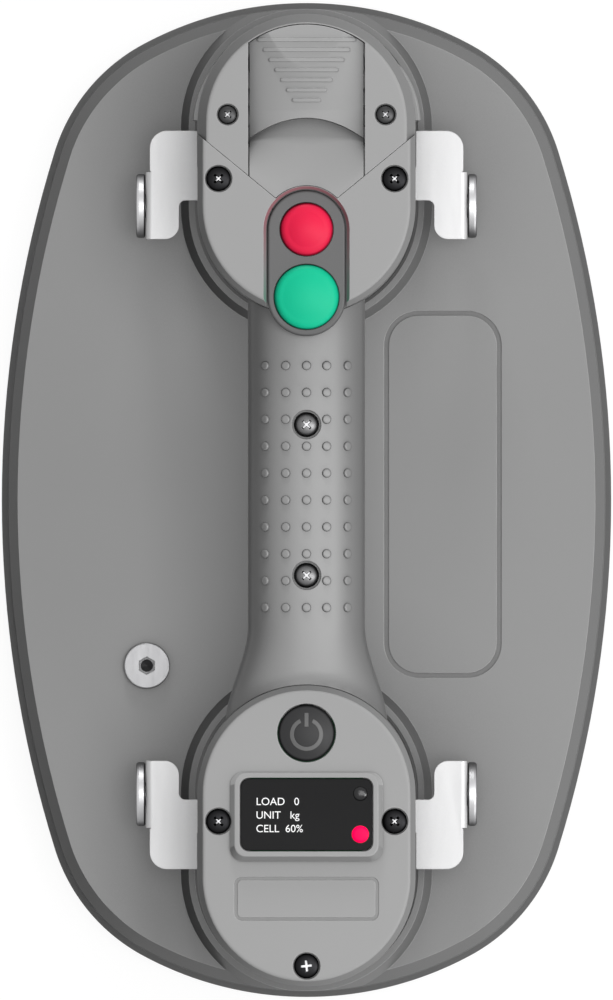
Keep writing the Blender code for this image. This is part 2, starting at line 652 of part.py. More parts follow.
def cover(name, centre_y, chamfer):
    return loft(name, [
        flat(stadium(COVER_INNER, centre_y), POD_TOP - COVER_ROOF),
        flat(stadium(COVER_INNER, centre_y), COVER_LOW),
        flat(stadium(POD_RADIUS, centre_y), COVER_LOW),
        flat(stadium(POD_RADIUS, centre_y), POD_TOP - chamfer),
        flat(stadium(POD_RADIUS - chamfer, centre_y), POD_TOP),
    ], GREY)


def screw_seat(target, spot, label, depth=0.0026):
    """Counterbore and clearance hole for a cover screw, with a pad under the roof for its head."""
    cut(target, cylinder(label + "_pad", spot, POST_RADIUS, COVER_LOW + GAP, POD_TOP - COVER_ROOF + 0.001,
                         collection=cutters, sides=10), "UNION")
    cut(target, cylinder(label + "_seat", spot, SCREW_HEAD + GAP, POD_TOP - depth, POD_TOP + 0.002,
                         collection=cutters))
    cut(target, cylinder(label + "_bore", spot, SHANK_HOLE, COVER_LOW - 0.002, POD_TOP,
                         collection=cutters, sides=10))


def screw(name, spot, length, look, top=POD_TOP - 0.0004, seat=POD_TOP - 0.0026 + GAP):
    """A domed screw whose shank runs down from its head."""
    turned(name, spot, (
        (SCREW_SHANK, seat - length), (SCREW_SHANK, seat), (SCREW_HEAD, seat),
        (SCREW_HEAD, top - 0.0013), (SCREW_HEAD * 0.7, top),
    ), look, sides=12)


rear_cover = cover("rear_cover", -POD_CENTRE, COVER_CHAMFER)
power = (0.0, -POWER_Y)
cut(rear_cover, cylinder("power_hole", power, POWER_RADIUS + GAP, COVER_LOW - 0.002, POD_TOP + 0.002,
                         collection=cutters, sides=20))
bezel_y = (-BEZEL_CENTRE_Y - BEZEL_LENGTH / 2, -BEZEL_CENTRE_Y + BEZEL_LENGTH / 2)
bezel_root = rounded(-BEZEL_HALF_WIDTH, BEZEL_HALF_WIDTH, *bezel_y, 0.0036)
root_hole = rounded(-BEZEL_HALF_WIDTH + 0.0008, BEZEL_HALF_WIDTH - 0.0008, bezel_y[0] + 0.0008,
                    bezel_y[1] - 0.0008, 0.003)
cut(rear_cover, prism("bezel_hole", root_hole, COVER_LOW - 0.002, POD_TOP + 0.002, collection=cutters))
for sx, side in ((-1, "left"), (1, "right")):
    screw_seat(rear_cover, (sx * CLAMP_X, -CLAMP_Y), "rear_cover_" + side)
screw_seat(rear_cover, (0.0, -COVER_SCREW_Y), "rear_cover_end")
badge_outer = rounded(-BADGE_HALF_WIDTH, BADGE_HALF_WIDTH, *BADGE_Y, BADGE_CORNER)
badge_inner = rounded(-BADGE_HALF_WIDTH + BADGE_GROOVE, BADGE_HALF_WIDTH - BADGE_GROOVE,
                      BADGE_Y[0] + BADGE_GROOVE, BADGE_Y[1] - BADGE_GROOVE, BADGE_CORNER - BADGE_GROOVE)
badge_floor = POD_TOP - GROOVE_DEPTH
cut(rear_cover, loft("badge_groove", [
    flat(badge_outer, POD_TOP + 0.001), flat(badge_outer, badge_floor),
    flat(badge_inner, badge_floor), flat(badge_inner, POD_TOP + 0.001),
], GREY, closed=True, collection=cutters))


def tilted(outline, low, rise):
    """A ring on a slope that rises towards the outer end of the rear pod."""
    return [(x, y, low + rise * (bezel_y[1] - y) / BEZEL_LENGTH) for x, y in outline]


# Display bezel: a wedge-topped frame that drops into the cover, flush at the grip side
bezel_top = rounded(-BEZEL_HALF_WIDTH, BEZEL_HALF_WIDTH, *bezel_y, 0.0036)
bezel_skirt = rounded(-BEZEL_HALF_WIDTH - 0.0014, BEZEL_HALF_WIDTH + 0.0014, bezel_y[0] - 0.0016,
                      bezel_y[1] + 0.0002, 0.0042)
bezel_neck = rounded(-BEZEL_HALF_WIDTH + 0.0011, BEZEL_HALF_WIDTH - 0.0011, bezel_y[0] + 0.0011,
                     bezel_y[1] - 0.0011, 0.0027)
bezel_sill = POD_TOP + GAP
bezel = loft("display_bezel", [
    flat(bezel_neck, POD_TOP - COVER_ROOF), flat(bezel_neck, bezel_sill), flat(bezel_skirt, bezel_sill),
    tilted(bezel_skirt, bezel_sill + 0.0002, BEZEL_RISE * 0.35), tilted(bezel_top, bezel_sill + 0.0005, BEZEL_RISE),
], GREY)
window_y = (-BEZEL_CENTRE_Y - WINDOW_LENGTH / 2, -BEZEL_CENTRE_Y + WINDOW_LENGTH / 2)
cut(bezel, prism("window_opening", rounded(-WINDOW_HALF_WIDTH, WINDOW_HALF_WIDTH, *window_y, 0.003),
                 COVER_LOW - 0.002, POD_TOP + 0.01, collection=cutters))
glass = rounded(-WINDOW_HALF_WIDTH + GAP, WINDOW_HALF_WIDTH - GAP, window_y[0] + GAP, window_y[1] - GAP,
                0.0028)
window = loft("display_window", [
    flat(glass, POD_TOP - COVER_ROOF), tilted(glass, bezel_sill + 0.0001, BEZEL_RISE)], SCREEN)
lamp = (LAMP_X, -LAMP_Y)
cut(window, cylinder("lamp_hole", lamp, LAMP_RADIUS + 0.0002, COVER_LOW, POD_TOP + 0.01, collection=cutters))
lamp_top = bezel_sill + 0.0001 + BEZEL_RISE * (bezel_y[1] + LAMP_Y) / BEZEL_LENGTH
turned("status_lamp", lamp, (
    (LAMP_RADIUS, POD_TOP - COVER_ROOF), (LAMP_RADIUS, lamp_top), (LAMP_RADIUS * 0.7, lamp_top + 0.0003),
), RED_RUBBER)
MODULE_INSET = 0.0013
block("display_module", (MODULE_INSET - WINDOW_HALF_WIDTH, window_y[0] + 0.001, COVER_LOW - 0.001),
      (WINDOW_HALF_WIDTH - MODULE_INSET, window_y[1] - 0.001, POD_TOP - COVER_ROOF - GAP), BOARD)


def button(name, spot, radius, low, top, look, stem_low):
    """A domed cap with a stem that reaches down to its switch."""
    rise = top - low
    made = turned(name, (0, 0), (
        (BUTTON_STEM, stem_low - low), (BUTTON_STEM, 0.0), (radius, 0.0), (radius, rise * 0.45),
        (radius * 0.90, rise * 0.76), (radius * 0.6, rise * 0.94), (radius * 0.15, rise),
    ), look, sides=16)
    made.location = (spot[0], spot[1], low)
    return made


switch_top = COVER_LOW - 0.003
button("power_button", power, POWER_RADIUS, POD_TOP - 0.0034, POD_TOP + 0.0004, DARK_GREY,
       switch_top + BUTTON_TRAVEL + GAP)

# Pump, valve and board inside the rear pod
pump = (0.0, -PUMP_Y)
motor_low = HOUSING_FLOOR + GAP
motor_top = motor_low + MOTOR_HEIGHT
turned("pump_motor", pump, (
    (MOTOR_RADIUS - 0.001, motor_low), (MOTOR_RADIUS, motor_low + 0.001), (MOTOR_RADIUS, motor_top - 0.001),
    (MOTOR_RADIUS - 0.001, motor_top),
), STEEL)
crank_low = motor_top + GAP
crank_top = crank_low + 0.004
crank = turned("pump_crank", (0, 0), ((CRANK_RADIUS, 0.0), (CRANK_RADIUS, crank_top - crank_low)), STEEL)
crank.location = (*pump, crank_low)
cut(crank, cylinder("crank_pin", (pump[0] + CRANK_PIN_OFFSET, pump[1]), 0.002, crank_low + 0.001,
                    crank_top + 0.006, collection=cutters, sides=10), "UNION")
head_low = crank_top + GAP
head_top = head_low + HEAD_HEIGHT
head_half = HEAD_SIZE / 2
head = block("pump_head", (-head_half, pump[1] - head_half, head_low), (head_half, pump[1] + head_half,
             head_top), DARK_GREY)
cut(head, cylinder("crank_race", pump, CRANK_PIN_OFFSET + 0.002 + RUN, head_low - 0.001, head_low + 0.007,
                   collection=cutters))
valve = (VALVE_X, -VALVE_Y)
turned("release_valve", valve, (
    (VALVE_RADIUS, motor_low), (VALVE_RADIUS, motor_low + 0.022), (0.003, motor_low + 0.022), (0.003, motor_low + 0.027),
), STEEL)
board_low = head_top + GAP
board_top = board_low + BOARD_THICK
main_board = block("main_board", (-BOARD_HALF_WIDTH, -PUMP_Y - 0.010, board_low),
                   (BOARD_HALF_WIDTH, -POWER_Y + 0.0046, board_top), BOARD)
cut(main_board, turned("power_switch", power, (
    (0.0045, board_top - 0.0005), (0.0045, board_top + 0.004), (0.0025, board_top + 0.004),
    (0.0025, switch_top),
), BLACK_STEEL, collection=cutters), "UNION")


def tube(name, route, radius, look):
    """A round tube along a smooth route, as a filled curve."""
    curve = bpy.data.curves.new(name, "CURVE")
    curve.dimensions = "3D"
    curve.bevel_depth = radius
    curve.bevel_resolution = 2
    curve.use_fill_caps = True
    spline = curve.splines.new("POLY")
    spline.points.add(len(route) - 1)
    for point, place_at in zip(spline.points, route):
        point.co = (*place_at, 1.0)
    return curve_to_mesh(bpy.data.objects.new(name + "_route", curve), name, look)


port_z = (head_low + head_top) / 2 + 0.001
bend = 0.0088
hose_end = pump[1] + head_half + GAP
hose_route = [(0.0, inlet[1], barb_top + GAP), (0.0, inlet[1], (barb_top + port_z) / 2)]
for i in range(7):
    angle = math.radians(15 * i)
    hose_route.append((0.0, inlet[1] - bend * (1 - math.cos(angle)), port_z - bend * (1 - math.sin(angle))))
hose_route.append((0.0, hose_end, port_z))
tube("vacuum_hose", hose_route, HOSE_RADIUS, DARK_GREY)

# Front housing: the pod before the V seam, with a dock floor and a rail for the battery pack
front = loft("front_housing", [
    flat(stadium(POD_RADIUS, POD_CENTRE), HOUSING_LOW),
    flat(stadium(POD_RADIUS, POD_CENTRE), HOUSING_TOP),
    flat(stadium(POD_RADIUS - 0.0001, POD_CENTRE), HOUSING_TOP),
], GREY)
ARCH_RADIUS = TRAY_RADIUS + 0.0014
SEAM_WALL = 0.0030
dock_floor = COLLAR_TOP - GAP
dock = prism("dock_space", seam_region(-GAP / 2, ARCH_RADIUS, True), dock_floor, HOUSING_TOP + 0.01,
             collection=cutters)
cut(front, dock)
hollow = prism("front_hollow", stadium(POD_INNER, POD_CENTRE), HOUSING_FLOOR, HOUSING_TOP + 0.01,
               collection=cutters)
slope_shift = SEAM_WALL * 1.3
cut(hollow, prism("front_hollow_trim", seam_region(-slope_shift, ARCH_RADIUS - SEAM_WALL, False),
                  HOUSING_FLOOR - 0.01, HOUSING_TOP + 0.02, collection=cutters), "INTERSECT")
cut(front, hollow)
posts(front, 1, "front")
tongue_window(front, 1, "front")
rail_start = RELEASE_Y + ARCH_RADIUS + 0.008
rail_end = POD_CENTRE + POD_STRAIGHT + POD_RADIUS - 0.006
cut(front, block("dock_rail", (-RAIL_HALF, rail_start, dock_floor - 0.001),
                 (RAIL_HALF, rail_end, dock_floor + RAIL_HEIGHT), collection=cutters), "UNION")

front_cover = cover("front_cover", POD_CENTRE, COVER_CHAMFER)
cut(front_cover, prism("front_cover_trim", seam_region(-GAP / 2, ARCH_RADIUS - GAP, False),
                       COVER_LOW - 0.01, POD_TOP + 0.01, collection=cutters), "INTERSECT")
tray_slot = arc(0, RELEASE_Y, TRAY_RADIUS + GAP, 0, 180, 12) + [
    (-TRAY_RADIUS - GAP, 0.0), (TRAY_RADIUS + GAP, 0.0)]
cut(front_cover, prism("tray_slot", tray_slot, COVER_LOW - 0.002, POD_TOP + 0.002, collection=cutters))
for sx, side in ((-1, "left"), (1, "right")):
    screw_seat(front_cover, (sx * CLAMP_X, CLAMP_Y), "front_cover_" + side)

tray_outline = arc(0, RELEASE_Y, TRAY_RADIUS, 0, 180, 10) + arc(0, SUCTION_Y, TRAY_RADIUS, 180, 360, 10)
tray_top_outline = arc(0, RELEASE_Y, TRAY_RADIUS - 0.0005, 0, 180, 10) + arc(
    0, SUCTION_Y, TRAY_RADIUS - 0.0005, 180, 360, 10)
tray = loft("button_tray", [
    flat(tray_outline, TRAY_LOW), flat(tray_outline, TRAY_TOP - 0.0005), flat(tray_top_outline, TRAY_TOP),
], DARK_GREY)
pocket_floor = TRAY_LOW + 0.0012
buttons = (("release", RELEASE_Y, RELEASE_RADIUS, 0.0020, RED_RUBBER),
           ("suction", SUCTION_Y, SUCTION_RADIUS, 0.0024, GREEN_RUBBER))
front_switch_top = TRAY_LOW - 0.0035
for label, y, radius, proud, look in buttons:
    cut(tray, cylinder(label + "_pocket", (0, y), radius + GAP, pocket_floor, TRAY_TOP + 0.002,
                       collection=cutters, sides=20))
    cut(tray, cylinder(label + "_stem_hole", (0, y), BUTTON_STEM + GAP, TRAY_LOW - 0.002, TRAY_TOP,
                       collection=cutters, sides=10))
    button(label + "_button", (0, y), radius, pocket_floor + BUTTON_TRAVEL + GAP, TRAY_TOP + proud, look,
           front_switch_top + BUTTON_TRAVEL + GAP)
button_board_low = front_switch_top - 0.0035
button_board = block("button_board", (-0.0070, SUCTION_Y - 0.0016, button_board_low - BOARD_THICK),
                     (0.0070, RELEASE_Y + 0.007, button_board_low), BOARD)
for label, y, radius, proud, look in buttons:
    cut(button_board, turned(label + "_switch", (0, y), (
        (0.0024, button_board_low - 0.0005), (0.0024, button_board_low + 0.002),
        (0.0016, button_board_low + 0.002), (0.0016, front_switch_top),
    ), BLACK_STEEL, collection=cutters), "UNION")

# Battery pack: case, lid, grip insert, cells, latches
case = loft("battery_case", [
    flat(stadium(POD_RADIUS, POD_CENTRE), PACK_LOW),
    flat(stadium(POD_RADIUS, POD_CENTRE), HOUSING_TOP),
    flat(stadium(POD_RADIUS - 0.0001, POD_CENTRE), HOUSING_TOP),
], GREY)
pack_trim = prism("pack_trim", seam_region(GAP, ARCH_RADIUS + GAP, True), PACK_LOW - 0.01,
                  POD_TOP + 0.01, collection=cutters)
cut(case, pack_trim, "INTERSECT")
bay = prism("cell_bay", stadium(POD_RADIUS - PACK_WALL, POD_CENTRE), PACK_FLOOR_Z, HOUSING_TOP + 0.01,
            collection=cutters)
cut(bay, prism("cell_bay_trim", seam_region(PACK_WALL * 1.3 + GAP, ARCH_RADIUS + GAP + PACK_WALL, True),
               PACK_LOW - 0.02, POD_TOP + 0.02, collection=cutters), "INTERSECT")
cut(case, bay)
cut(case, block("rail_slot", (-RAIL_HALF - RUN, SUCTION_Y, PACK_LOW - 0.01),
                (RAIL_HALF + RUN, rail_end + RUN, dock_floor + RAIL_HEIGHT + RUN), collection=cutters))
cell_places = [(i * CELL_PITCH, CELL_ROW_Y) for i in (-1, 0, 1)]
cell_places += [(i * CELL_PITCH / 2, CELL_ROW_Y + CELL_ROW_STEP) for i in (-1, 1)]
for i, spot in enumerate(cell_places):
    low = PACK_FLOOR_Z + GAP
    turned(f"battery_cell_{i + 1}", spot, (
        (CELL_RADIUS, low), (CELL_RADIUS, low + CELL_HEIGHT - 0.0015), (0.0035, low + CELL_HEIGHT - 0.0012),
        (0.0035, low + CELL_HEIGHT),
    ), CELL_WRAP, sides=12)

pack_arc_y = POD_CENTRE + POD_STRAIGHT
latch_steps = 8
latch_end_y = POD_RADIUS * math.sin(math.radians(LATCH_START + LATCH_SWEEP)) + GAP
for sx, side in ((-1, "left"), (1, "right")):
    outer, inner, slot_outer, slot_inner = [], [], [], []
    for i in range(latch_steps + 1):
        t = i / latch_steps
        angle = math.radians(LATCH_START + LATCH_SWEEP * t)
        proud = 0.0017 * math.sqrt(max(0.0, 1 - t ** 2)) - 0.0003 * t
        for points, radius in ((outer, POD_RADIUS + proud), (inner, POD_RADIUS - LATCH_DEPTH)):
            points.append((sx * radius * math.cos(angle), pack_arc_y + radius * math.sin(angle)))
        for points, radius in ((slot_outer, POD_RADIUS + 0.004), (slot_inner, POD_RADIUS - 0.006)):
            first = math.radians(LATCH_START - 0.7)
            turn = first + (math.asin(latch_end_y / radius) - first) * t
            points.append((sx * radius * math.cos(turn), pack_arc_y + radius * math.sin(turn)))
    shape = outer + list(reversed(inner))
    hole = slot_outer + list(reversed(slot_inner))
    latch = prism("battery_latch_" + side, shape, LATCH_LOW, LATCH_LOW + LATCH_TALL)
    cut(case, prism("latch_slot_" + side, hole, LATCH_LOW - GAP, LATCH_LOW + LATCH_TALL + GAP,
                    collection=cutters))

lid = cover("battery_lid", POD_CENTRE, PACK_CHAMFER)
cut(lid, pack_trim, "INTERSECT")
channel_side = CHANNEL_HALF + GAP
channel_arc = POD_RADIUS - PACK_CHAMFER
channel_turn = math.degrees(math.acos(channel_side / channel_arc))
channel = arc(0, pack_arc_y, channel_arc, channel_turn, 180 - channel_turn, 12)
channel += [(-channel_side, SUCTION_Y), (channel_side, SUCTION_Y)]
cut(lid, prism("lid_channel", channel, COVER_LOW + 0.0012, POD_TOP + 0.01, collection=cutters))
for sx, side in ((-1, "left"), (1, "right")):
    spot = (sx * LID_SCREW_X, LID_SCREW_Y)
    cut(lid, cylinder("lid_pad_" + side, spot, 0.0044, COVER_LOW + GAP, POD_TOP - COVER_ROOF + 0.001,
                      collection=cutters, sides=10), "UNION")
    cut(lid, cylinder("lid_seat_" + side, spot, 0.0034, POD_TOP - 0.002, POD_TOP + 0.01, collection=cutters))
    cut(lid, cylinder("lid_bore_" + side, spot, 0.0017, COVER_LOW - 0.01, POD_TOP, collection=cutters,
                      sides=12))
    turned("lid_screw_" + side, spot, (
        (0.0014, CELL_TOP + GAP), (0.0014, POD_TOP - 0.002 + GAP), (0.0031, POD_TOP - 0.002 + GAP),
        (0.0031, POD_TOP - 0.0008), (0.0024, POD_TOP - 0.0001), (0.001, POD_TOP + 0.0002),
    ), STEEL, sides=12)
    across = sorted((sx * (LID_SCREW_X - 0.0036), sx * (POD_RADIUS - 0.001)))
    cut(case, block("case_ledge_" + side, (across[0], LID_SCREW_Y - 0.0034, CELL_TOP + GAP),
                    (across[1], LID_SCREW_Y + 0.0034, HOUSING_TOP), collection=cutters), "UNION")
    cut(case, cylinder("case_ledge_bore_" + side, spot, 0.0017, CELL_TOP, HOUSING_TOP + 0.002,
                       collection=cutters, sides=10))

# Grip insert of the pack: a crowned, sloping thumb pad with ribs, then a scoop for the finger
SCOOP_LIFT = 0.0044
insert_low = COVER_LOW + 0.0012 + GAP
PAD_CROWN = 0.0020
PAD_DROP = 0.0030
PAD_HEAD = 0.0016


def insert_start(x):
    """Where the insert begins along Y: the V seam, or the arch of the button tray in the middle."""
    arch = ARCH_RADIUS + 2 * GAP
    edge = seam_y(x, 2 * GAP)
    if abs(x) < arch:
        edge = max(edge, RELEASE_Y + math.sqrt(arch ** 2 - x ** 2))
    return edge


def insert_arch(x):
    """The arched line between the scoop and the thumb pad."""
    return SCOOP_FAR_Y - 0.0064 * (x / CHANNEL_HALF) ** 2


def insert_height(x, y):
    """Height of the insert: crowned pad beyond the arch line, scoop before it."""
    if y >= insert_arch(x):
        along = (y - insert_arch(x)) / (pack_arc_y + channel_arc - insert_arch(x))
        top = POD_TOP + PAD_HEAD - PAD_DROP * (1 - along) - PAD_CROWN * (x / CHANNEL_HALF) ** 2
        return min(POD_TOP, top)
    t = (y - insert_start(x)) / (insert_arch(x) - insert_start(x))
    pad_edge = insert_height(x, insert_arch(x))
    return POD_TOP + (pad_edge - POD_TOP) * t - SCOOP_LIFT * math.sin(math.pi * t)


RIB_RISE = 0.0006
RIB_HALF = 0.00055
RIB_FLANK = 0.0009
ROW_STEP = 0.00012


def insert_end(x):
    """Where the insert ends: the edge of the pack's flat top."""
    return pack_arc_y + math.sqrt((POD_RADIUS - PACK_CHAMFER - GAP) ** 2 - x ** 2)


columns = 10
scoop_rows = 5
pad_rows = [(SCOOP_FAR_Y + 0.002, 0.0), (SCOOP_FAR_Y + 0.004, 0.0)]
for i in reversed(range(RIB_COUNT)):
    y = RIB_FIRST_Y - i * RIB_PITCH
    half = RIB_FIRST_HALF - i * RIB_STEP_HALF
    pad_rows += [(y - RIB_FLANK, 0.0), (y - RIB_HALF, half), (y + RIB_HALF, half), (y + RIB_FLANK, 0.0)]
rows = scoop_rows + len(pad_rows) + 1
bm = bmesh.new()
top_grid = []
low_grid = []
for j in range(rows + 1):
    top_row, low_row = [], []
    for i in range(columns + 1):
        x = -CHANNEL_HALF + 2 * CHANNEL_HALF * i / columns
        rise = 0.0
        if j <= scoop_rows:
            y = insert_start(x) + (insert_arch(x) - insert_start(x)) * j / scoop_rows
        elif j < rows:
            y, half = pad_rows[j - scoop_rows - 1]
            y = min(y, insert_end(x) - ROW_STEP * (rows - j))
            rise = RIB_RISE if abs(x) < half else 0.0
        else:
            y = insert_end(x)
        top_row.append(bm.verts.new((x, y, insert_height(x, y) + rise)))
        if j in (0, rows) or i in (0, columns):
            low_row.append(bm.verts.new((x, y, insert_low)))
    top_grid.append(top_row)
    low_grid.append(low_row)
for j in range(rows):
    for i in range(columns):
        bm.faces.new((top_grid[j][i], top_grid[j][i + 1], top_grid[j + 1][i + 1], top_grid[j + 1][i]))
    for i, k in ((0, 0), (columns, -1)):
        bm.faces.new((top_grid[j][i], low_grid[j][k], low_grid[j + 1][k], top_grid[j + 1][i]))
for j in (0, rows):
    for i in range(columns):
        bm.faces.new((top_grid[j][i], top_grid[j][i + 1], low_grid[j][i + 1], low_grid[j][i]))
border = low_grid[0] + [low_grid[j][-1] for j in range(1, rows)] + list(reversed(low_grid[rows]))
border += [low_grid[j][0] for j in range(rows - 1, 0, -1)]
bm.faces.new(border)
add("pack_grip", bm, GREY)

block("terminal_block", (-TERMINAL_HALF_WIDTH, TERMINAL_Y[0], HOUSING_FLOOR + GAP),
      (TERMINAL_HALF_WIDTH, TERMINAL_Y[1], HOUSING_FLOOR + GAP + TERMINAL_HEIGHT), DARK_GREY)


# Grip: two half shells lofted along Y, flaring into the rear pod
def grip_half_width(y):
    """Half width of the grip, growing smoothly towards the rear pod."""
    t = (-y - FLARE_START) / FLARE_LENGTH
    t = max(0.0, min(1.0, t))
    return GRIP_HALF_WIDTH + FLARE_GAIN * t * t * (3 - 2 * t)


def grip_drop(y):
    """How much lower the grip's underside is near the rear pod."""
    return (grip_half_width(y) - GRIP_HALF_WIDTH) * 0.9


def grip_section(y, sign, inset, steps=7):
    """Half of the grip's oval section, above (sign 1) or below (sign -1) its seam."""
    half = grip_half_width(y) - inset
    tall = GRIP_HALF_HEIGHT + (grip_drop(y) if sign < 0 else 0.0) - inset
    points = []
    for i in range(steps + 1):
        angle = math.pi * i / steps
        c = math.cos(angle)
        s = math.sin(angle)
        x = half * math.copysign(abs(c) ** 0.86, c)
        z = GRIP_MIDDLE + sign * tall * abs(s) ** 0.86
        points.append((x, y, max(z, GRIP_MIDDLE + GAP / 2) if sign > 0 else min(z, GRIP_MIDDLE - GAP / 2)))
    return points


grip_front_y = POD_CENTRE - POD_STRAIGHT - GRIP_INLET
grip_rear_y = -grip_front_y
stations = [grip_front_y, grip_front_y - 0.0236, -FLARE_START + 0.002]
stations += [-FLARE_START - step * 0.006 for step in range(1, 6)] + [grip_rear_y]
for name, sign in (("grip_top", 1), ("grip_bottom", -1)):
    rings = []
    for y in stations:
        outer = grip_section(y, sign, 0.0)
        inner = grip_section(y, sign, GRIP_WALL)
        rings.append(outer + list(reversed(inner)))
    half_shell = loft(name, rings, GREY)
    for label, centre_y in (("front", POD_CENTRE), ("rear", -POD_CENTRE)):
        cut(half_shell, prism(f"{name}_{label}_trim", stadium(POD_RADIUS + GAP, centre_y),
                              PLATE_TOP, POD_TOP + 0.02, collection=cutters))
grip_top = bpy.data.objects["grip_top"]
grip_bottom = bpy.data.objects["grip_bottom"]
for label, sign in (("front", 1), ("rear", -1)):
    ends = sorted((sign * (rear_wall_y - 0.010), sign * (rear_wall_y + POD_WALL + TONGUE_REACH)))
    half = TONGUE_WIDTH / 2
    tongue = block(label + "_tongue", (-half, ends[0], tongue_low), (half, ends[1], GRIP_MIDDLE - 0.002),
                   collection=cutters)
    cut(grip_bottom, tongue, "UNION")
    root_ends = sorted((sign * (rear_wall_y - 0.010), sign * (rear_wall_y - 0.007)))
    cut(grip_bottom, block(label + "_tongue_root", (-half, root_ends[0], GRIP_MIDDLE - TONGUE_ROOT),
                           (half, root_ends[1], GRIP_MIDDLE - 0.002), collection=cutters), "UNION")
    cut(grip_bottom, block(label + "_wire_way", (-0.004, ends[0] - 0.004, GRIP_MIDDLE - 0.0075),
                           (0.004, ends[1] + 0.004, GRIP_MIDDLE + 0.001), collection=cutters))
    spot = (0.0, sign * GRIP_SCREW_Y)
    seat = GRIP_TOP - 0.0030
    cut(grip_top, cylinder(f"grip_boss_{label}", spot, SCREW_HEAD + 0.0018, GRIP_MIDDLE + 0.004,
                           GRIP_TOP - 0.001, collection=cutters), "UNION")
    cut(grip_top, cylinder(f"grip_seat_{label}", spot, SCREW_HEAD + 0.0007, seat, GRIP_TOP + 0.004,
                           collection=cutters))
    cut(grip_top, cylinder(f"grip_bore_{label}", spot, SHANK_HOLE, GRIP_MIDDLE - 0.004, GRIP_TOP,
                           collection=cutters, sides=10))
    cut(grip_bottom, cylinder(f"grip_post_{label}", spot, POST_RADIUS, GRIP_MIDDLE - GRIP_HALF_HEIGHT + 0.001,
                              GRIP_MIDDLE + 0.004 - GAP, collection=cutters), "UNION")
    cut(grip_bottom, cylinder(f"grip_post_bore_{label}", spot, SHANK_HOLE, GRIP_MIDDLE - 0.008,
                              GRIP_MIDDLE + 0.008, collection=cutters, sides=10))
    screw(f"grip_screw_{label}", spot, 0.016, BLACK_STEEL, GRIP_TOP - 0.0002, seat + GAP)

loom_z = GRIP_MIDDLE - 0.0048
tube("wire_loom", [
    (0.0, rear_wall_y + 0.010, loom_z), (0.0, rear_wall_y - 0.010, loom_z), (LOOM_X / 2, GRIP_SCREW_Y + 0.016, loom_z),
    (LOOM_X, GRIP_SCREW_Y + 0.006, loom_z), (LOOM_X, -GRIP_SCREW_Y - 0.006, loom_z),
    (LOOM_X / 2, -GRIP_SCREW_Y - 0.016, loom_z),
    (0.0, -rear_wall_y + 0.010, loom_z), (0.0, -rear_wall_y - 0.010, loom_z),
], LOOM_RADIUS, BLACK_STEEL)

for sign, end in ((-1, "rear"), (1, "front")):
    for sx, side in ((-1, "left"), (1, "right")):
        seat = POD_TOP - 0.0026 + GAP
        screw(f"clamp_screw_{end}_{side}", (sx * CLAMP_X, sign * CLAMP_Y), seat - (LUG_TOP - 0.008), BLACK_STEEL)
cut(rear, cylinder("end_post", (0.0, -COVER_SCREW_Y), POST_RADIUS, HOUSING_TOP - 0.020, HOUSING_TOP,
                   collection=cutters, sides=10), "UNION")
cut(rear, cylinder("end_post_bore", (0.0, -COVER_SCREW_Y), SHANK_HOLE, HOUSING_TOP - 0.016,
                   HOUSING_TOP + 0.002, collection=cutters, sides=10))
screw("cover_screw", (0.0, -COVER_SCREW_Y), 0.016, BLACK_STEEL)
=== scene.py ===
import math

import bmesh
import bpy
from mathutils import Matrix, Vector


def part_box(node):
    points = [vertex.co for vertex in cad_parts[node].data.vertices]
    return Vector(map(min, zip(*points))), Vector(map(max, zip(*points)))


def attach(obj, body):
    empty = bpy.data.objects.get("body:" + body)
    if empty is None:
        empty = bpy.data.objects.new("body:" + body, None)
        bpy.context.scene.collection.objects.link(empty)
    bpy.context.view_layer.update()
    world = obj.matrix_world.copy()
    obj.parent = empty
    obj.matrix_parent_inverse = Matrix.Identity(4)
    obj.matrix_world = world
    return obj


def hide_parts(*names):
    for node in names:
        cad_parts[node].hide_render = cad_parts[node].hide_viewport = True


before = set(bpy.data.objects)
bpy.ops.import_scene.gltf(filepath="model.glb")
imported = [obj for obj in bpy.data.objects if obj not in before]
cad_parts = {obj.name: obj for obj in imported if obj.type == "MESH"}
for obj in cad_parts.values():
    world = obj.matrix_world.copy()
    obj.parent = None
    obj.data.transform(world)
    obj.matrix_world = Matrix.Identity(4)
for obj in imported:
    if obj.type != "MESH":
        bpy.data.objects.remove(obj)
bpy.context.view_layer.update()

# The lifter is photographed from straight above through a long lens, so nothing is foreshortened.
# The lens is set level with the middle of the pods, where one metre is 3125 pixels of the picture.
PICTURE_LENGTH = 0.32
SENSOR = 36.0
LENS = 1000.0
SHARP_HEIGHT = 0.070
camera = bpy.data.objects.new("overhead_camera", bpy.data.cameras.new("overhead_camera"))
camera.data.lens = LENS
camera.data.sensor_width = SENSOR
camera.data.clip_end = 30.0
camera.location = (0.0, 0.0, SHARP_HEIGHT + PICTURE_LENGTH * LENS / SENSOR)
bpy.context.scene.collection.objects.link(camera)
bpy.context.scene.camera = camera
bpy.context.scene.view_settings.view_transform = "Standard"


# The studio has a box overhead, a shadowless box at the right that gives the grip its bright side, and
# two low strips for the bevels. The floor is white to the camera and keeps the lifter's shadow.
AIMED_AT = Vector((0, 0, 0.05))
WHITE = (1, 1, 1, 1)
AIR_LEVEL = 0.05
FLOOR_HALF = 1.6
PAPER_TONE = (0.18, 0.18, 0.18, 1)
PAPER_LIFT = 0.86


def soft_box(name, place, size, watts, shadow=True):
    lamp = bpy.data.objects.new(name, bpy.data.lights.new(name, "AREA"))
    lamp.data.shape = "RECTANGLE"
    lamp.data.size, lamp.data.size_y = size
    lamp.data.energy = watts
    lamp.data.use_shadow = shadow
    lamp.location = place
    lamp.rotation_euler = (AIMED_AT - Vector(place)).to_track_quat("-Z", "Y").to_euler()
    bpy.context.scene.collection.objects.link(lamp)


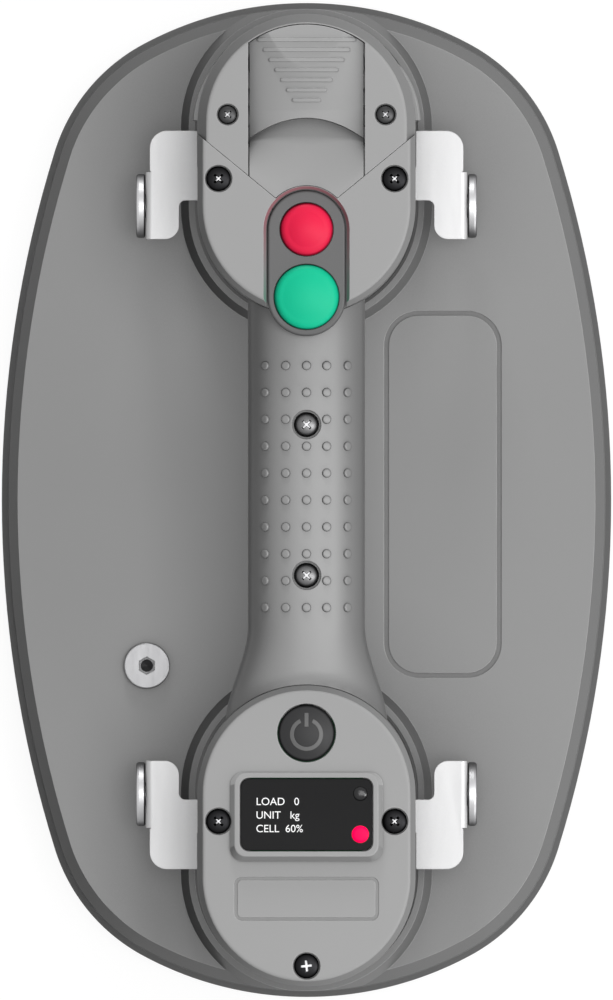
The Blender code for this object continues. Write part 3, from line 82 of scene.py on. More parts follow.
def feed(tree, node, sockets):
    """Give a node's sockets their values, or a link where another node's output is given."""
    for socket, value in sockets.items():
        if isinstance(value, bpy.types.NodeSocket):
            tree.links.new(value, node.inputs[socket])
        else:
            node.inputs[socket].default_value = value


def add(tree, kind, sockets=None, **settings):
    """A new shader node with its settings made and its sockets fed."""
    node = tree.nodes.new("ShaderNode" + kind)
    for setting, value in settings.items():
        setattr(node, setting, value)
    feed(tree, node, sockets or {})
    return node


def reckon(tree, operation, *terms, clamp=False):
    return add(tree, "Math", dict(enumerate(terms)), operation=operation, use_clamp=clamp).outputs[0]


def rescale(tree, value, low, high, to_low=0.0):
    """Stretch the span from low to high over the span from to_low to 1."""
    span = {"Value": value, "From Min": low, "From Max": high, "To Min": to_low}
    return add(tree, "MapRange", span).outputs["Result"]


def seen_directly(tree):
    """1 for what the camera sees, straight or through metal and glass, and 0 for plain light."""
    rays = add(tree, "LightPath").outputs
    either = reckon(tree, "MAXIMUM", rays["Is Camera Ray"], rays["Is Glossy Ray"])
    return reckon(tree, "MAXIMUM", either, rays["Is Transmission Ray"])


def new_look(name):
    """An empty material with its node tree and its shader."""
    look = bpy.data.materials.new(name)
    look.use_nodes = True
    return look, look.node_tree, look.node_tree.nodes["Principled BSDF"]


soft_box("box_overhead", (0.45, 0.0, 2.60), (0.9, 1.4), 25.0)
soft_box("box_right", (1.50, -0.45, 2.00), (0.7, 0.9), 28.0, False)
soft_box("strip_beyond", (-0.12, 2.00, 0.60), (0.5, 0.45), 13.0)
soft_box("strip_before", (1.05, -1.70, 0.60), (0.9, 0.45), 6.0)

world = bpy.data.worlds.new("studio_air")
world.use_nodes = True
bpy.context.scene.world = world
air = world.node_tree
air_light = rescale(air, seen_directly(air), 0.0, 1.0, AIR_LEVEL)
feed(air, air.nodes["Background"], {"Color": WHITE, "Strength": air_light})

floor_mesh = bpy.data.meshes.new("studio_floor")
floor_mesh.from_pydata([(x * FLOOR_HALF, y * FLOOR_HALF, 0) for x, y in ((-1, -1), (1, -1), (1, 1), (-1, 1))],
                       [], [(0, 1, 2, 3)])
studio_floor = bpy.data.objects.new("studio_floor", floor_mesh)
bpy.context.scene.collection.objects.link(studio_floor)
paper, sheet, matte = new_look("white_paper")
feed(sheet, matte, {"Base Color": PAPER_TONE, "Roughness": 0.9})
lift = reckon(sheet, "MULTIPLY", seen_directly(sheet), PAPER_LIFT)
glow = add(sheet, "Emission", {"Color": WHITE, "Strength": lift})
both = add(sheet, "AddShader", {0: matte.outputs["BSDF"], 1: glow.outputs["Emission"]})
feed(sheet, sheet.nodes["Material Output"], {"Surface": both.outputs[0]})
floor_mesh.materials.append(paper)


# The seal is a ring of black closed-cell foam that sits in a groove under the pan and stands 10 mm
# proud of it. Its lower edges are softly rounded and its faces show the cut cells of the foam.
PLATE_HALF_WIDTH = 0.0981
PLATE_HALF_LENGTH = 0.160
CORNER_RADIUS = 0.0589
SIDE_BOW = 0.0144
END_BOW = 0.0063
SIDE_STEPS, CORNER_STEPS, END_STEPS = 16, 30, 22
FOAM_INSET = 0.0070
FOAM_WIDTH = 0.0170
FOAM_ROUND = 0.0018
FOAM_SHOULDER = 0.0052
FOAM_SWELL = (0.0002, 0.0036)
QUARTER = [math.radians(18 * i) for i in range(6)]


def plate_outline(inset_side, inset_end=None):
    """The plate's outline: side, corner and end arcs that meet smoothly, drawn inwards by an inset."""
    inset_end = inset_side if inset_end is None else inset_end
    corner = Vector((PLATE_HALF_WIDTH - SIDE_BOW - CORNER_RADIUS,
                     PLATE_HALF_LENGTH - END_BOW - CORNER_RADIUS))
    u, v = corner.x - PLATE_HALF_WIDTH, corner.y - PLATE_HALF_LENGTH
    side = (CORNER_RADIUS ** 2 - u ** 2 - corner.y ** 2) / (2 * (u + CORNER_RADIUS))
    end = (CORNER_RADIUS ** 2 - v ** 2 - corner.x ** 2) / (2 * (v + CORNER_RADIUS))
    side_centre, end_centre = Vector((PLATE_HALF_WIDTH - side, 0)), Vector((0, PLATE_HALF_LENGTH - end))
    first = math.atan2(corner.y, corner.x - side_centre.x)
    second = math.atan2(corner.y - end_centre.y, corner.x)
    quarter = []
    for centre, radius, start, stop, count in ((side_centre, side, 0.0, first, SIDE_STEPS),
                                               (corner, CORNER_RADIUS, first, second, CORNER_STEPS),
                                               (end_centre, end, second, math.pi / 2, END_STEPS)):
        for i in range(count):
            angle = start + (stop - start) * i / count
            reach = radius - (inset_side + (inset_end - inset_side) * min(1.0, math.sin(angle) * 1.4))
            quarter.append((centre.x + reach * math.cos(angle), centre.y + reach * math.sin(angle)))
    top = (0.0, PLATE_HALF_LENGTH - inset_end)
    back = list(reversed(quarter[1:]))
    return (quarter + [top] + [(-x, y) for x, y in back] + [(-quarter[0][0], 0.0)]
            + [(-x, -y) for x, y in quarter[1:]] + [(0.0, -top[1])] + [(x, -y) for x, y in back])


def at(outline, z):
    return [(x, y, z) for x, y in outline]


def show(name, bm, looks, edge_angle=35):
    """Turn a bmesh into a shown piece with its materials, smooth but for its sharp edges."""
    bmesh.ops.recalc_face_normals(bm, faces=bm.faces)
    mesh = bpy.data.meshes.new(name)
    bm.to_mesh(mesh)
    bm.free()
    mesh.shade_smooth()
    mesh.set_sharp_from_angle(angle=math.radians(edge_angle))
    for look in looks:
        mesh.materials.append(look)
    piece = bpy.data.objects.new(name, mesh)
    bpy.context.scene.collection.objects.link(piece)
    return piece


def skin(name, rings, *looks, closed=False, edge_angle=35):
    """Join a stack of rings with equal numbers of points, and cap the ends unless the stack is closed."""
    bm = bmesh.new()
    rows = [[bm.verts.new(p) for p in ring] for ring in rings]
    pairs = list(zip(rows, rows[1:])) + ([(rows[-1], rows[0])] if closed else [])
    for low, high in pairs:
        for i in range(len(low)):
            after = (i + 1) % len(low)
            bm.faces.new((low[i], low[after], high[after], high[i]))
    if not closed:
        bm.faces.new(rows[0])
        bm.faces.new(rows[-1])
    return show(name, bm, looks, edge_angle)


def settle(piece, body, node=None):
    """Let a piece ride its body and stand for its CAD node."""
    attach(piece, body)
    if node:
        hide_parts(node)


FLOAT, COLOUR, VECTOR = "NodeSocketFloat", "NodeSocketColor", "NodeSocketVector"


def new_group(name, inputs, outputs):
    """An empty shader group with named sockets: (name, kind, value) in, (name, kind) out."""
    group = bpy.data.node_groups.new(name, "ShaderNodeTree")
    for label, kind, value in inputs:
        socket = group.interface.new_socket(label, in_out="INPUT", socket_type=kind)
        socket.default_value = value
    for label, kind in outputs:
        group.interface.new_socket(label, in_out="OUTPUT", socket_type=kind)
    return group, group.nodes.new("NodeGroupInput").outputs, group.nodes.new("NodeGroupOutput")


def noise(tree, place, scale, detail, **more):
    return add(tree, "TexNoise", {"Vector": place, "Scale": scale, "Detail": detail, **more}).outputs["Fac"]


# Grain: the fine sparkle of a moulded or blasted skin, as a height and a change of gloss
grain, grain_in, grain_out = new_group(
    "skin_grain", (("Scale", FLOAT, 2500.0), ("Gloss", FLOAT, 0.45), ("Gloss Spread", FLOAT, 0.08)),
    (("Height", FLOAT), ("Roughness", FLOAT)))
on_piece = add(grain, "TexCoord").outputs["Object"]
fine = noise(grain, on_piece, grain_in["Scale"], 3.0, Roughness=0.6)
swing = reckon(grain, "SUBTRACT", noise(grain, on_piece, 28.0, 5.0), 0.5)
gloss = reckon(grain, "MULTIPLY_ADD", swing, grain_in["Gloss Spread"], grain_in["Gloss"])
feed(grain, grain_out, {"Height": fine, "Roughness": gloss})

# Wear and painted light: the raised edges are rounded and painted lighter, a painted highlight that also
# stands for rubbing by hands and knocks, and painted shade darkens the hollows
light_and_wear, light_and_wear_in, light_and_wear_out = new_group(
    "edge_wear_highlight_and_shade", (("Colour", COLOUR, (0.3, 0.3, 0.3, 1)), ("Edge Colour", COLOUR, (0.6, 0.6, 0.6, 1)),
                  ("Edge", FLOAT, 0.4), ("Mottle", FLOAT, 0.06)), (("Colour", COLOUR), ("Normal", VECTOR)))
rounded = add(light_and_wear, "Bevel", {"Radius": 0.0003}, samples=4).outputs["Normal"]
true_face = add(light_and_wear, "NewGeometry").outputs["Normal"]
turned = add(light_and_wear, "VectorMath", {0: rounded, 1: true_face}, operation="DOT_PRODUCT").outputs["Value"]
hollow = add(light_and_wear, "AmbientOcclusion", {"Distance": 0.040}, samples=4).outputs["AO"]
edges = reckon(light_and_wear, "MULTIPLY", rescale(light_and_wear, turned, 0.995, 0.965), rescale(light_and_wear, hollow, 0.40, 0.62))
# Painted shade: ambient occlusion reaching 40 mm darkens hollows and the ground near tall parts, down to
# about half
painted_hollow_shade = rescale(light_and_wear, hollow, 0.25, 0.92, 0.48)
on_piece = add(light_and_wear, "TexCoord").outputs["Object"]
broken = reckon(light_and_wear, "MULTIPLY", edges, noise(light_and_wear, on_piece, 160.0, 6.0))
amount = reckon(light_and_wear, "MULTIPLY", broken, light_and_wear_in["Edge"], clamp=True)
patch = rescale(light_and_wear, noise(light_and_wear, on_piece, 14.0, 4.0), 0.25, 0.75, -1.0)
tone = reckon(light_and_wear, "MULTIPLY", reckon(light_and_wear, "MULTIPLY_ADD", patch, light_and_wear_in["Mottle"], 1.0), painted_hollow_shade)
mottled = add(light_and_wear, "VectorMath", {0: light_and_wear_in["Colour"], "Scale": tone}, operation="SCALE").outputs["Vector"]
worn_and_highlit = add(light_and_wear, "Mix", {"Factor": amount, "A": mottled, "B": light_and_wear_in["Edge Colour"]}, data_type="RGBA")
feed(light_and_wear, light_and_wear_out, {"Colour": worn_and_highlit.outputs["Result"], "Normal": rounded})


def tone_with_painted_light(tree, colour, edge_colour, edge, mottle):
    """The wear and painted light group placed in a material, with its own colours and amounts."""
    return add(tree, "Group", {"Colour": (*colour, 1), "Edge Colour": (*edge_colour, 1), "Edge": edge,
                               "Mottle": mottle}, node_tree=light_and_wear)


def texture_over(tree, shader, tone, texture, bump):
    """Lay a texture's height over the rounded edges, and give the shader its gloss."""
    relief = add(tree, "Bump", {"Strength": bump, "Distance": 0.001, "Height": texture.outputs["Height"],
                                "Normal": tone.outputs["Normal"]})
    feed(tree, shader, {"Roughness": texture.outputs["Roughness"], "Normal": relief.outputs["Normal"]})


def finish_of(name, colour, gloss, mottle, scale, bump=0.02, edge=0.4, specular=0.5, slant=1.0):
    """A finish from the grain group and the wear and painted light group, with painted shade that dims it
    where it is seen at a slant.
    """
    look, tree, shader = new_look(name)
    tone = tone_with_painted_light(tree, colour, [min(1, c * 1.7 + 0.04) for c in colour], edge, mottle)
    texture = add(tree, "Group", {"Scale": scale, "Gloss": gloss}, node_tree=grain)
    # Painted shade: the colour is multiplied by the slant factor where the face is seen at a slant.
    facing = add(tree, "LayerWeight", {"Blend": 0.8}).outputs["Facing"]
    dim = add(tree, "Mix", data_type="RGBA", blend_type="MULTIPLY")
    feed(tree, dim, {"Factor": facing, "A": tone.outputs["Colour"], "B": (slant, slant, slant, 1)})
    feed(tree, shader, {"Base Color": dim.outputs["Result"], "Specular IOR Level": specular})
    texture_over(tree, shader, tone, texture, bump)
    return look


foam_skin = finish_of("black_foam", (0.018, 0.018, 0.019), 0.92, mottle=0.25, scale=1300.0, bump=0.35,
                      edge=0.1, specular=0.25)
foam_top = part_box("seal_foam")[1].z
inner_edge = FOAM_INSET + FOAM_WIDTH
profile = [(FOAM_INSET, foam_top), (FOAM_INSET, FOAM_SHOULDER), (FOAM_INSET - FOAM_SWELL[0], FOAM_SWELL[1])]
profile += [(FOAM_INSET + FOAM_ROUND * (1 - math.cos(a)), FOAM_ROUND * (1 - math.sin(a))) for a in QUARTER]
profile += [(inner_edge - FOAM_ROUND * (1 - math.cos(a)), FOAM_ROUND * (1 - math.sin(a)))
            for a in reversed(QUARTER)]
profile += [(inner_edge, FOAM_SHOULDER), (inner_edge, foam_top)]
foam_ring = skin("foam_seal_ring", [at(plate_outline(inset), z) for inset, z in profile], foam_skin,
                 closed=True, edge_angle=50)
settle(foam_ring, "lifter", "seal_foam")


# The pan is the lower half of the plate, a flat die casting with a rounded lip that shows all round
# outside the seam, a groove for the foam below, a filter pocket at the inlet and four screw seats.
pan_low, pan_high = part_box("base_pan")
GAP = 0.0003
PAN_EDGE = 0.0012
PAN_BEVEL = (0.0021, 0.0052)
FOAM_SEAT = 0.003
PAN_SCREWS = ("pan_screw_1", "pan_screw_2", "pan_screw_3", "pan_screw_4")
SCREW_SEAT = 0.0032
BARB_HOLE = 0.0032
SHANK_HOLE = 0.0021
grey_skin = finish_of("grey_satin_casting", (0.325, 0.325, 0.325), 0.38, mottle=0.035, scale=3000.0,
                      bump=0.018, edge=1.7, specular=0.12, slant=0.6)
pan_skin = finish_of("grey_pan_coating", (0.27, 0.27, 0.27), 0.42, mottle=0.035, scale=3000.0,
                     bump=0.018, edge=1.0, specular=0.05, slant=0.45)


def stands(node):
    """The box of a CAD node, the middle of its plan, and half its width."""
    low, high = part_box(node)
    return low, high, ((low.x + high.x) / 2, (low.y + high.y) / 2), (high.x - low.x) / 2


def drum(centre, radius, low, high, sides=64, top_radius=None):
    """An upright round solid, used as a cutter or as a boss."""
    bm = bmesh.new()
    bmesh.ops.create_cone(bm, cap_ends=True, segments=sides, radius1=radius, radius2=top_radius or radius,
                          depth=high - low, matrix=Matrix.Translation((*centre, (low + high) / 2)))
    return show("drum", bm, [])


def slab(outline, low, high, look=None, name="slab"):
    """A flat outline with thickness, also used as a cutter."""
    return skin(name, [at(outline, low), at(outline, high)], *([look] if look else []))


def brick(low, high):
    """A square-edged block between two corners, used as a cutter."""
    return slab([(low[0], low[1]), (high[0], low[1]), (high[0], high[1]), (low[0], high[1])], low[2], high[2])


def carve(piece, tool, operation="DIFFERENCE"):
    """Cut, join or trim a piece with a tool, keep the result as its mesh and drop the tool."""
    step = piece.modifiers.new("carve", "BOOLEAN")
    step.operation = operation
    step.solver = "EXACT"
    step.object = tool
    bpy.context.view_layer.update()
    result = bpy.data.meshes.new_from_object(piece.evaluated_get(bpy.context.evaluated_depsgraph_get()))
    result.set_sharp_from_angle(angle=math.radians(30))
    piece.modifiers.remove(step)
    piece.data = result
    bpy.data.objects.remove(tool, do_unlink=True)
    return piece


def even_out(piece):
    """Mark even shallow edges as sharp, so that flat faces look flat right up to their edges."""
    piece.data.set_sharp_from_angle(angle=math.radians(5))


def break_edges(piece, width, angle=40):
    """Round every sharp edge by a small radius, as a moulding or casting has it."""
    step = piece.modifiers.new("edge_break", "BEVEL")
    step.width = width
    step.segments = 2
    step.limit_method = "ANGLE"
    step.angle_limit = math.radians(angle)
    step.harden_normals = True
    step.use_clamp_overlap = True


inner, outer = FOAM_INSET + FOAM_WIDTH + GAP, FOAM_INSET - GAP
profile = [(inner, pan_low.z), (inner, pan_low.z + FOAM_SEAT), (outer, pan_low.z + FOAM_SEAT),
           (outer, pan_low.z)]
profile += [(PAN_EDGE * (1 - math.sin(a)), pan_low.z + PAN_EDGE * (1 - math.cos(a))) for a in QUARTER]
profile += [(0.0, pan_high.z - PAN_BEVEL[1] - 0.0006), (0.00015, pan_high.z - PAN_BEVEL[1]),
            (PAN_BEVEL[0] - 0.0002, pan_high.z - 0.0003), (PAN_BEVEL[0] + 0.0003, pan_high.z)]
pan = skin("pan_casting", [at(plate_outline(inset), z) for inset, z in profile], pan_skin)
filter_low, filter_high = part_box("inlet_filter")
filter_place = (0.0, (filter_low.y + filter_high.y) / 2)
filter_radius = (filter_high.x - filter_low.x) / 2
carve(pan, drum(filter_place, filter_radius + GAP, pan_low.z - 0.002, filter_high.z + GAP))
carve(pan, drum(filter_place, BARB_HOLE, pan_low.z, pan_high.z + 0.002))
for node in PAN_SCREWS:
    _, _, spot, radius = stands(node)
    carve(pan, drum(spot, radius + GAP, pan_low.z - 0.001, pan_low.z + SCREW_SEAT, 40))
    carve(pan, drum(spot, SHANK_HOLE, pan_low.z, pan_high.z + 0.001, 24))
break_edges(pan, 0.0003)
settle(pan, "lifter", "base_pan")


# The plate shell is the upper half: a wall set in from the lip, a sloping edge that grows wider round the
# ends, a flat top with a framed panel, and a drafted collar round the foot of each pod.
shell_low, shell_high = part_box("base_shell")
LIP_WIDTH = 0.0024
SHELL_WALL = 0.003
CHAMFER_SIDE = 0.0029
CHAMFER_END = 0.0034
CHAMFER_HEIGHT = 0.0058
COLLAR_HEIGHT = 0.007
COLLAR_FOOT = 0.0403
COLLAR_RADIUS = 0.0378
POD_CENTRE = 0.1068
POD_STRAIGHT = 0.0132
POD_RADIUS = 0.0347
COLLAR_GAP = 0.0011
FOOT_PASSAGE = 0.014
PLATE_TOP = shell_high.z - COLLAR_HEIGHT
PANEL = (0.0249, 0.0627, -0.0571, 0.0608)
PANEL_CORNER = 0.0112
PANEL_GROOVE = 0.0016


def arc(cx, cy, radius, start, stop, steps):
    """Points on an arc, angles in degrees, both ends included."""
    turns = [math.radians(start + (stop - start) * i / steps) for i in range(steps + 1)]
    return [(cx + radius * math.cos(t), cy + radius * math.sin(t)) for t in turns]


def oval(radius, centre_y, steps=40):
    """A pod's outline: two half rounds joined by short straights along the grip's direction."""
    return (arc(0, centre_y + POD_STRAIGHT, radius, 0, 180, steps)
            + arc(0, centre_y - POD_STRAIGHT, radius, 180, 360, steps))


def round_box(x0, x1, y0, y1, radius, steps=8):
    """A rectangle with round corners."""
    return (arc(x1 - radius, y1 - radius, radius, 0, 90, steps)
            + arc(x0 + radius, y1 - radius, radius, 90, 180, steps)
            + arc(x0 + radius, y0 + radius, radius, 180, 270, steps)
            + arc(x1 - radius, y0 + radius, radius, 270, 360, steps))


def moat(outline, inset_outline, floor, top):
    """A cutter for a closed groove between two outlines."""
    rings = [at(outline, top), at(outline, floor), at(inset_outline, floor), at(inset_outline, top)]
    return skin("moat", rings, closed=True)


def framed(box, corner, groove, inner_corner, steps, floor, top):
    """The moat round a bare framed panel, from its box, corners and groove width."""
    x0, x1, y0, y1 = box
    inside = round_box(x0 + groove, x1 - groove, y0 + groove, y1 - groove, inner_corner, steps)
    return moat(round_box(*box, corner, steps), inside, floor, top)


roof = PLATE_TOP - SHELL_WALL
shell = skin("plate_shell", [
    at(plate_outline(LIP_WIDTH + SHELL_WALL), roof),
    at(plate_outline(LIP_WIDTH + SHELL_WALL), shell_low.z),
    at(plate_outline(LIP_WIDTH), shell_low.z),
    at(plate_outline(LIP_WIDTH), PLATE_TOP - CHAMFER_HEIGHT),
    at(plate_outline(LIP_WIDTH + CHAMFER_SIDE, LIP_WIDTH + CHAMFER_END), PLATE_TOP),
], grey_skin)
for sign in (1, -1):
    centre_y = sign * POD_CENTRE
    collar = skin("collar", [at(oval(COLLAR_FOOT, centre_y), PLATE_TOP - 0.001),
                             at(oval(COLLAR_FOOT, centre_y), PLATE_TOP),
                             at(oval(COLLAR_RADIUS, centre_y), shell_high.z)])
    within_lip = plate_outline(LIP_WIDTH + 0.00005)
    carve(collar, slab(within_lip, PLATE_TOP - 0.01, shell_high.z + 0.01), "INTERSECT")
    carve(shell, collar, "UNION")
    carve(shell, slab(oval(POD_RADIUS + GAP, centre_y), PLATE_TOP, shell_high.z + 0.004))
    carve(shell, slab(oval(POD_RADIUS + COLLAR_GAP, centre_y), shell_high.z - 0.005, shell_high.z + 0.004))
    carve(shell, slab(oval(FOOT_PASSAGE, centre_y, 16), roof - 0.002, PLATE_TOP + 0.002))
plug_low, plug_high, plug_spot, plug_radius = stands("port_plug")
carve(shell, drum(plug_spot, plug_radius + 0.001, shell_low.z, roof + 0.001), "UNION")
carve(shell, drum(plug_spot, plug_radius * 0.65, shell_low.z - 0.002, PLATE_TOP + 0.002))
carve(shell, framed(PANEL, PANEL_CORNER, PANEL_GROOVE, PANEL_CORNER - PANEL_GROOVE, 14,
                    PLATE_TOP - 0.0012, PLATE_TOP + 0.001))
even_out(shell)
settle(shell, "lifter", "base_shell")


# A low steel plug closes the spare vacuum port. It is turned, with a thin bright edge and a hexagon
# socket whose drilled bottom is a cone, and it screws down onto the plate.
def lathe(name, centre, outline, look, sides, edge_angle=35):
    """A turned solid about an upright axis, from (radius, height) pairs bottom to top."""
    turns = [2 * math.pi * i / sides for i in range(sides)]
    x, y = centre
    rings = [[(x + r * math.cos(t), y + r * math.sin(t), z) for t in turns] for r, z in outline]
    return skin(name, rings, look, edge_angle=edge_angle)


# Turning marks: fine rings about an axis, for turned steel
turning, turning_in, turning_out = new_group(
    "turning_marks", (("Scale", FLOAT, 900.0), ("Gloss", FLOAT, 0.2), ("Gloss Spread", FLOAT, 0.12)),
    (("Height", FLOAT), ("Roughness", FLOAT)))
on_piece = add(turning, "TexCoord").outputs["Object"]
stretched = add(turning, "Mapping", {"Vector": on_piece, "Scale": (1.0, 0.12, 1.0)}).outputs["Vector"]
marks = noise(turning, stretched, turning_in["Scale"], 2.0)
gloss = reckon(turning, "MULTIPLY_ADD", marks, turning_in["Gloss Spread"], turning_in["Gloss"])
feed(turning, turning_out, {"Height": marks, "Roughness": gloss})


def metal_of(name, colour, gloss, scale, spread=0.12, bump=0.02, mottle=0.04, edge=0.0, rim=None,
             metallic=1.0):
    """Bare or blackened metal with drawn or turned marks, whose tone can change to a rim tone where it turns
    away, as painted shade.
    """
    look, tree, shader = new_look(name)
    tone = tone_with_painted_light(tree, colour, [min(1.0, c * 1.5 + 0.1) for c in colour], edge, mottle)
    # Painted shade: the rim tone darkens the metal where its face turns away from the view.
    if rim:
        facing = add(tree, "LayerWeight", {"Blend": 0.6}).outputs["Facing"]
        fade = add(tree, "Mix", data_type="RGBA")
        feed(tree, fade, {"Factor": facing, "A": (*colour, 1), "B": (*rim, 1)})
        feed(tree, tone, {"Colour": fade.outputs["Result"]})
    texture = add(tree, "Group", {"Scale": scale, "Gloss": gloss, "Gloss Spread": spread}, node_tree=turning)
    feed(tree, shader, {"Base Color": tone.outputs["Colour"], "Metallic": metallic})
    texture_over(tree, shader, tone, texture, bump)
    return look


bright_steel = metal_of("bright_turned_steel", (0.21, 0.21, 0.214), 0.34, 900.0, edge=0.4)
PLUG_EDGE = 0.0004
HEX_CORNER = 0.0029
HEX_DEPTH = 0.0032
plug = lathe("port_plug_turned", plug_spot, [
    (plug_radius * 0.6, plug_low.z), (plug_radius * 0.6, PLATE_TOP + GAP),
    (plug_radius - 0.0003, PLATE_TOP + GAP), (plug_radius, PLATE_TOP + 0.0006),
    (plug_radius, plug_high.z - PLUG_EDGE),
    (plug_radius - PLUG_EDGE * 0.4, plug_high.z - PLUG_EDGE * 0.25), (plug_radius - PLUG_EDGE, plug_high.z),
], bright_steel, 96)
socket_floor = plug_high.z - HEX_DEPTH
drill_point = [(0.0001, socket_floor - 0.0018), (HEX_CORNER * 0.8, socket_floor + 0.0003)]
carve(plug, drum(plug_spot, HEX_CORNER, socket_floor, plug_high.z + 0.001, 6))
carve(plug, lathe("drill_point", plug_spot, drill_point, bright_steel, 32))
even_out(plug)
settle(plug, "lifter", "port_plug")


# The underside: four sunk pan screws, the inlet filter disc and the hose barb behind it.
# The screws are bright cross-head machine screws; the filter is a disc of coarse foam.
SCREW_HEAD_DEPTH = 0.0026


def cross_recess(centre, reach, width, floor, top, turn):
    """Two crossed slots with tapered ends, as a cutter for a cross-head screw."""
    tool = None
    for quarter in (0.0, 90.0):
        angle = math.radians(quarter + turn)
        along = Vector((math.cos(angle), math.sin(angle)))
        across = Vector((-along.y, along.x))
        rings = []
        for z, r, w in ((floor, reach * 0.55, width * 0.6), (top, reach, width)):
            rings.append([(centre[0] + a * r * along.x + b * w / 2 * across.x,
                           centre[1] + a * r * along.y + b * w / 2 * across.y, z)
                          for a, b in ((-1, -1), (1, -1), (1, 1), (-1, 1))])
        arm = skin("arm", rings)
        tool = arm if tool is None else carve(tool, arm, "UNION")
    return tool


def dome_screw(name, node, look, dome, body="lifter", down=False, turn=45):
    """A round-headed cross-head screw standing where its CAD node is, with its shank."""
    low, high, spot, radius = stands(node)
    sign = -1 if down else 1
    top, foot = (low.z, high.z) if down else (high.z, low.z)
    collar_z = top - sign * SCREW_HEAD_DEPTH
    outline = [(radius * 0.45, foot), (radius * 0.45, collar_z), (radius - 0.0001, collar_z),
               (radius, collar_z + sign * 0.0002), (radius, top - sign * dome)]
    for i in range(1, 8):
        angle = math.radians(90 * i / 8)
        outline.append((radius * math.cos(angle) ** 0.9, top - sign * dome * (1 - math.sin(angle))))
    outline.append((radius * 0.05, top))
    made = lathe(name, spot, outline[::sign], look, 48, edge_angle=30)
    bottom, brim = sorted((top + sign * 0.001, top - sign * 0.0016))
    carve(made, cross_recess(spot, radius * 0.58, radius * 0.22, bottom, brim, turn))
    settle(made, body, node)


for node in PAN_SCREWS:
    dome_screw("under_" + node, node, bright_steel, 0.0006, down=True)
filter_foam = finish_of("filter_foam", (0.05, 0.05, 0.05), 0.95, mottle=0.5, scale=700.0, bump=0.8,
                        specular=0.2)
filter_disc = lathe("filter_disc", filter_place, [
    (filter_radius - 0.0004, filter_low.z), (filter_radius, filter_low.z + 0.0004),
    (filter_radius, filter_high.z)], filter_foam, 48)
settle(filter_disc, "lifter", "inlet_filter")


def refinish(node, look):
    """Give a piece that keeps its CAD shape its own material."""
    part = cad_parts[node]
    part.data.materials.clear()
    part.data.materials.append(look)


refinish("inlet_barb", bright_steel)


# Each pod is a deep oval tub. The rear one holds the pump and is plain outside; the front one is open
# towards its far end as the battery's dock, with a V-shaped wall, a rail and the arch of the button tray.
POD_WALL = 0.0028
CLAMP_X = 0.0280
CLAMP_Y = 0.1022
POST_RADIUS = 0.0044
LUG_MID_Y = 0.0959
TAB_FAR_Y = CLAMP_Y + POST_RADIUS
SEAM_WIDE = (0.0344, 0.1162)
SEAM_POINT = (0.0091, 0.0954)
SEAM_SLOPE = (SEAM_WIDE[1] - SEAM_POINT[1]) / (SEAM_WIDE[0] - SEAM_POINT[0])
RELEASE_Y = 0.0861
SUCTION_Y = 0.0646
TRAY_RADIUS = 0.0125
ARCH_RADIUS = TRAY_RADIUS + 0.0014
TONGUE_WIDTH = 0.020
RAIL_HALF = 0.006
GRIP_MIDDLE = 0.103
LUG_SHEET = 0.0012
HOSE_HOLE = 0.0042
housing_low, housing_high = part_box("rear_housing")
lug_low, lug_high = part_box("lug_front_right")
wall_near = POD_CENTRE - POD_STRAIGHT - POD_RADIUS
tongue_low = GRIP_MIDDLE - 0.009
pod_skin = finish_of("grey_moulded_pod", (0.425, 0.425, 0.425), 0.38, mottle=0.03, scale=3200.0, bump=0.016,
                     edge=1.3, specular=0.10, slant=0.55)


def seam_y(x, shift=0.0):
    """Where the V seam between battery pack and pod lies, at a distance x from the middle."""
    return SEAM_POINT[1] + (abs(x) - SEAM_POINT[0]) * SEAM_SLOPE + shift


def seam_side(shift, radius, beyond):
    """The area beyond the V seam, or before it, with the round arch of the button tray."""
    base = seam_y(0.0, shift) - RELEASE_Y
    a, b, c = 1 + SEAM_SLOPE ** 2, 2 * SEAM_SLOPE * base, base ** 2 - radius ** 2
    meet = (-b + math.sqrt(b * b - 4 * a * c)) / (2 * a)
    start = math.degrees(math.atan2(seam_y(meet, shift) - RELEASE_Y, meet))
    wide = 0.06
    line = [(wide, seam_y(wide, shift))] + arc(0, RELEASE_Y, radius, start, 180 - start, 32)
    end_y = 0.2 if beyond else 0.0
    return line + [(-wide, seam_y(wide, shift)), (-wide, end_y), (wide, end_y)]


def fit_posts(target, sign):
    """The two posts for the clamp screws and the slots for the lugs' tabs."""
    slot_low, slot_high = lug_high.z - LUG_SHEET - GAP, lug_high.z + GAP
    for sx in (-1, 1):
        spot = (sx * CLAMP_X, sign * CLAMP_Y)
        for low, high in ((housing_low.z + 0.002, slot_low), (slot_high, housing_high.z)):
            carve(target, drum(spot, POST_RADIUS, low, high, 32), "UNION")
        carve(target, drum(spot, SHANK_HOLE, lug_high.z - 0.010, housing_high.z + 0.002, 20))
        ends = sorted((sx * (POD_RADIUS - POD_WALL - 0.0075), sx * (POD_RADIUS + 0.01)))
        wide = sorted((sign * (LUG_MID_Y - GAP), sign * (TAB_FAR_Y + GAP)))
        carve(target, brick((ends[0], wide[0], slot_low), (ends[1], wide[1], slot_high)))


def fit_tongue(target, sign):
    """The window in the pod's wall that takes the tongue of the grip's lower shell."""
    ends = sorted((sign * (wall_near - 0.004), sign * (wall_near + POD_WALL + 0.006)))
    half = TONGUE_WIDTH / 2 + GAP
    carve(target, brick((-half, ends[0], tongue_low - GAP), (half, ends[1], GRIP_MIDDLE - 0.0017)))


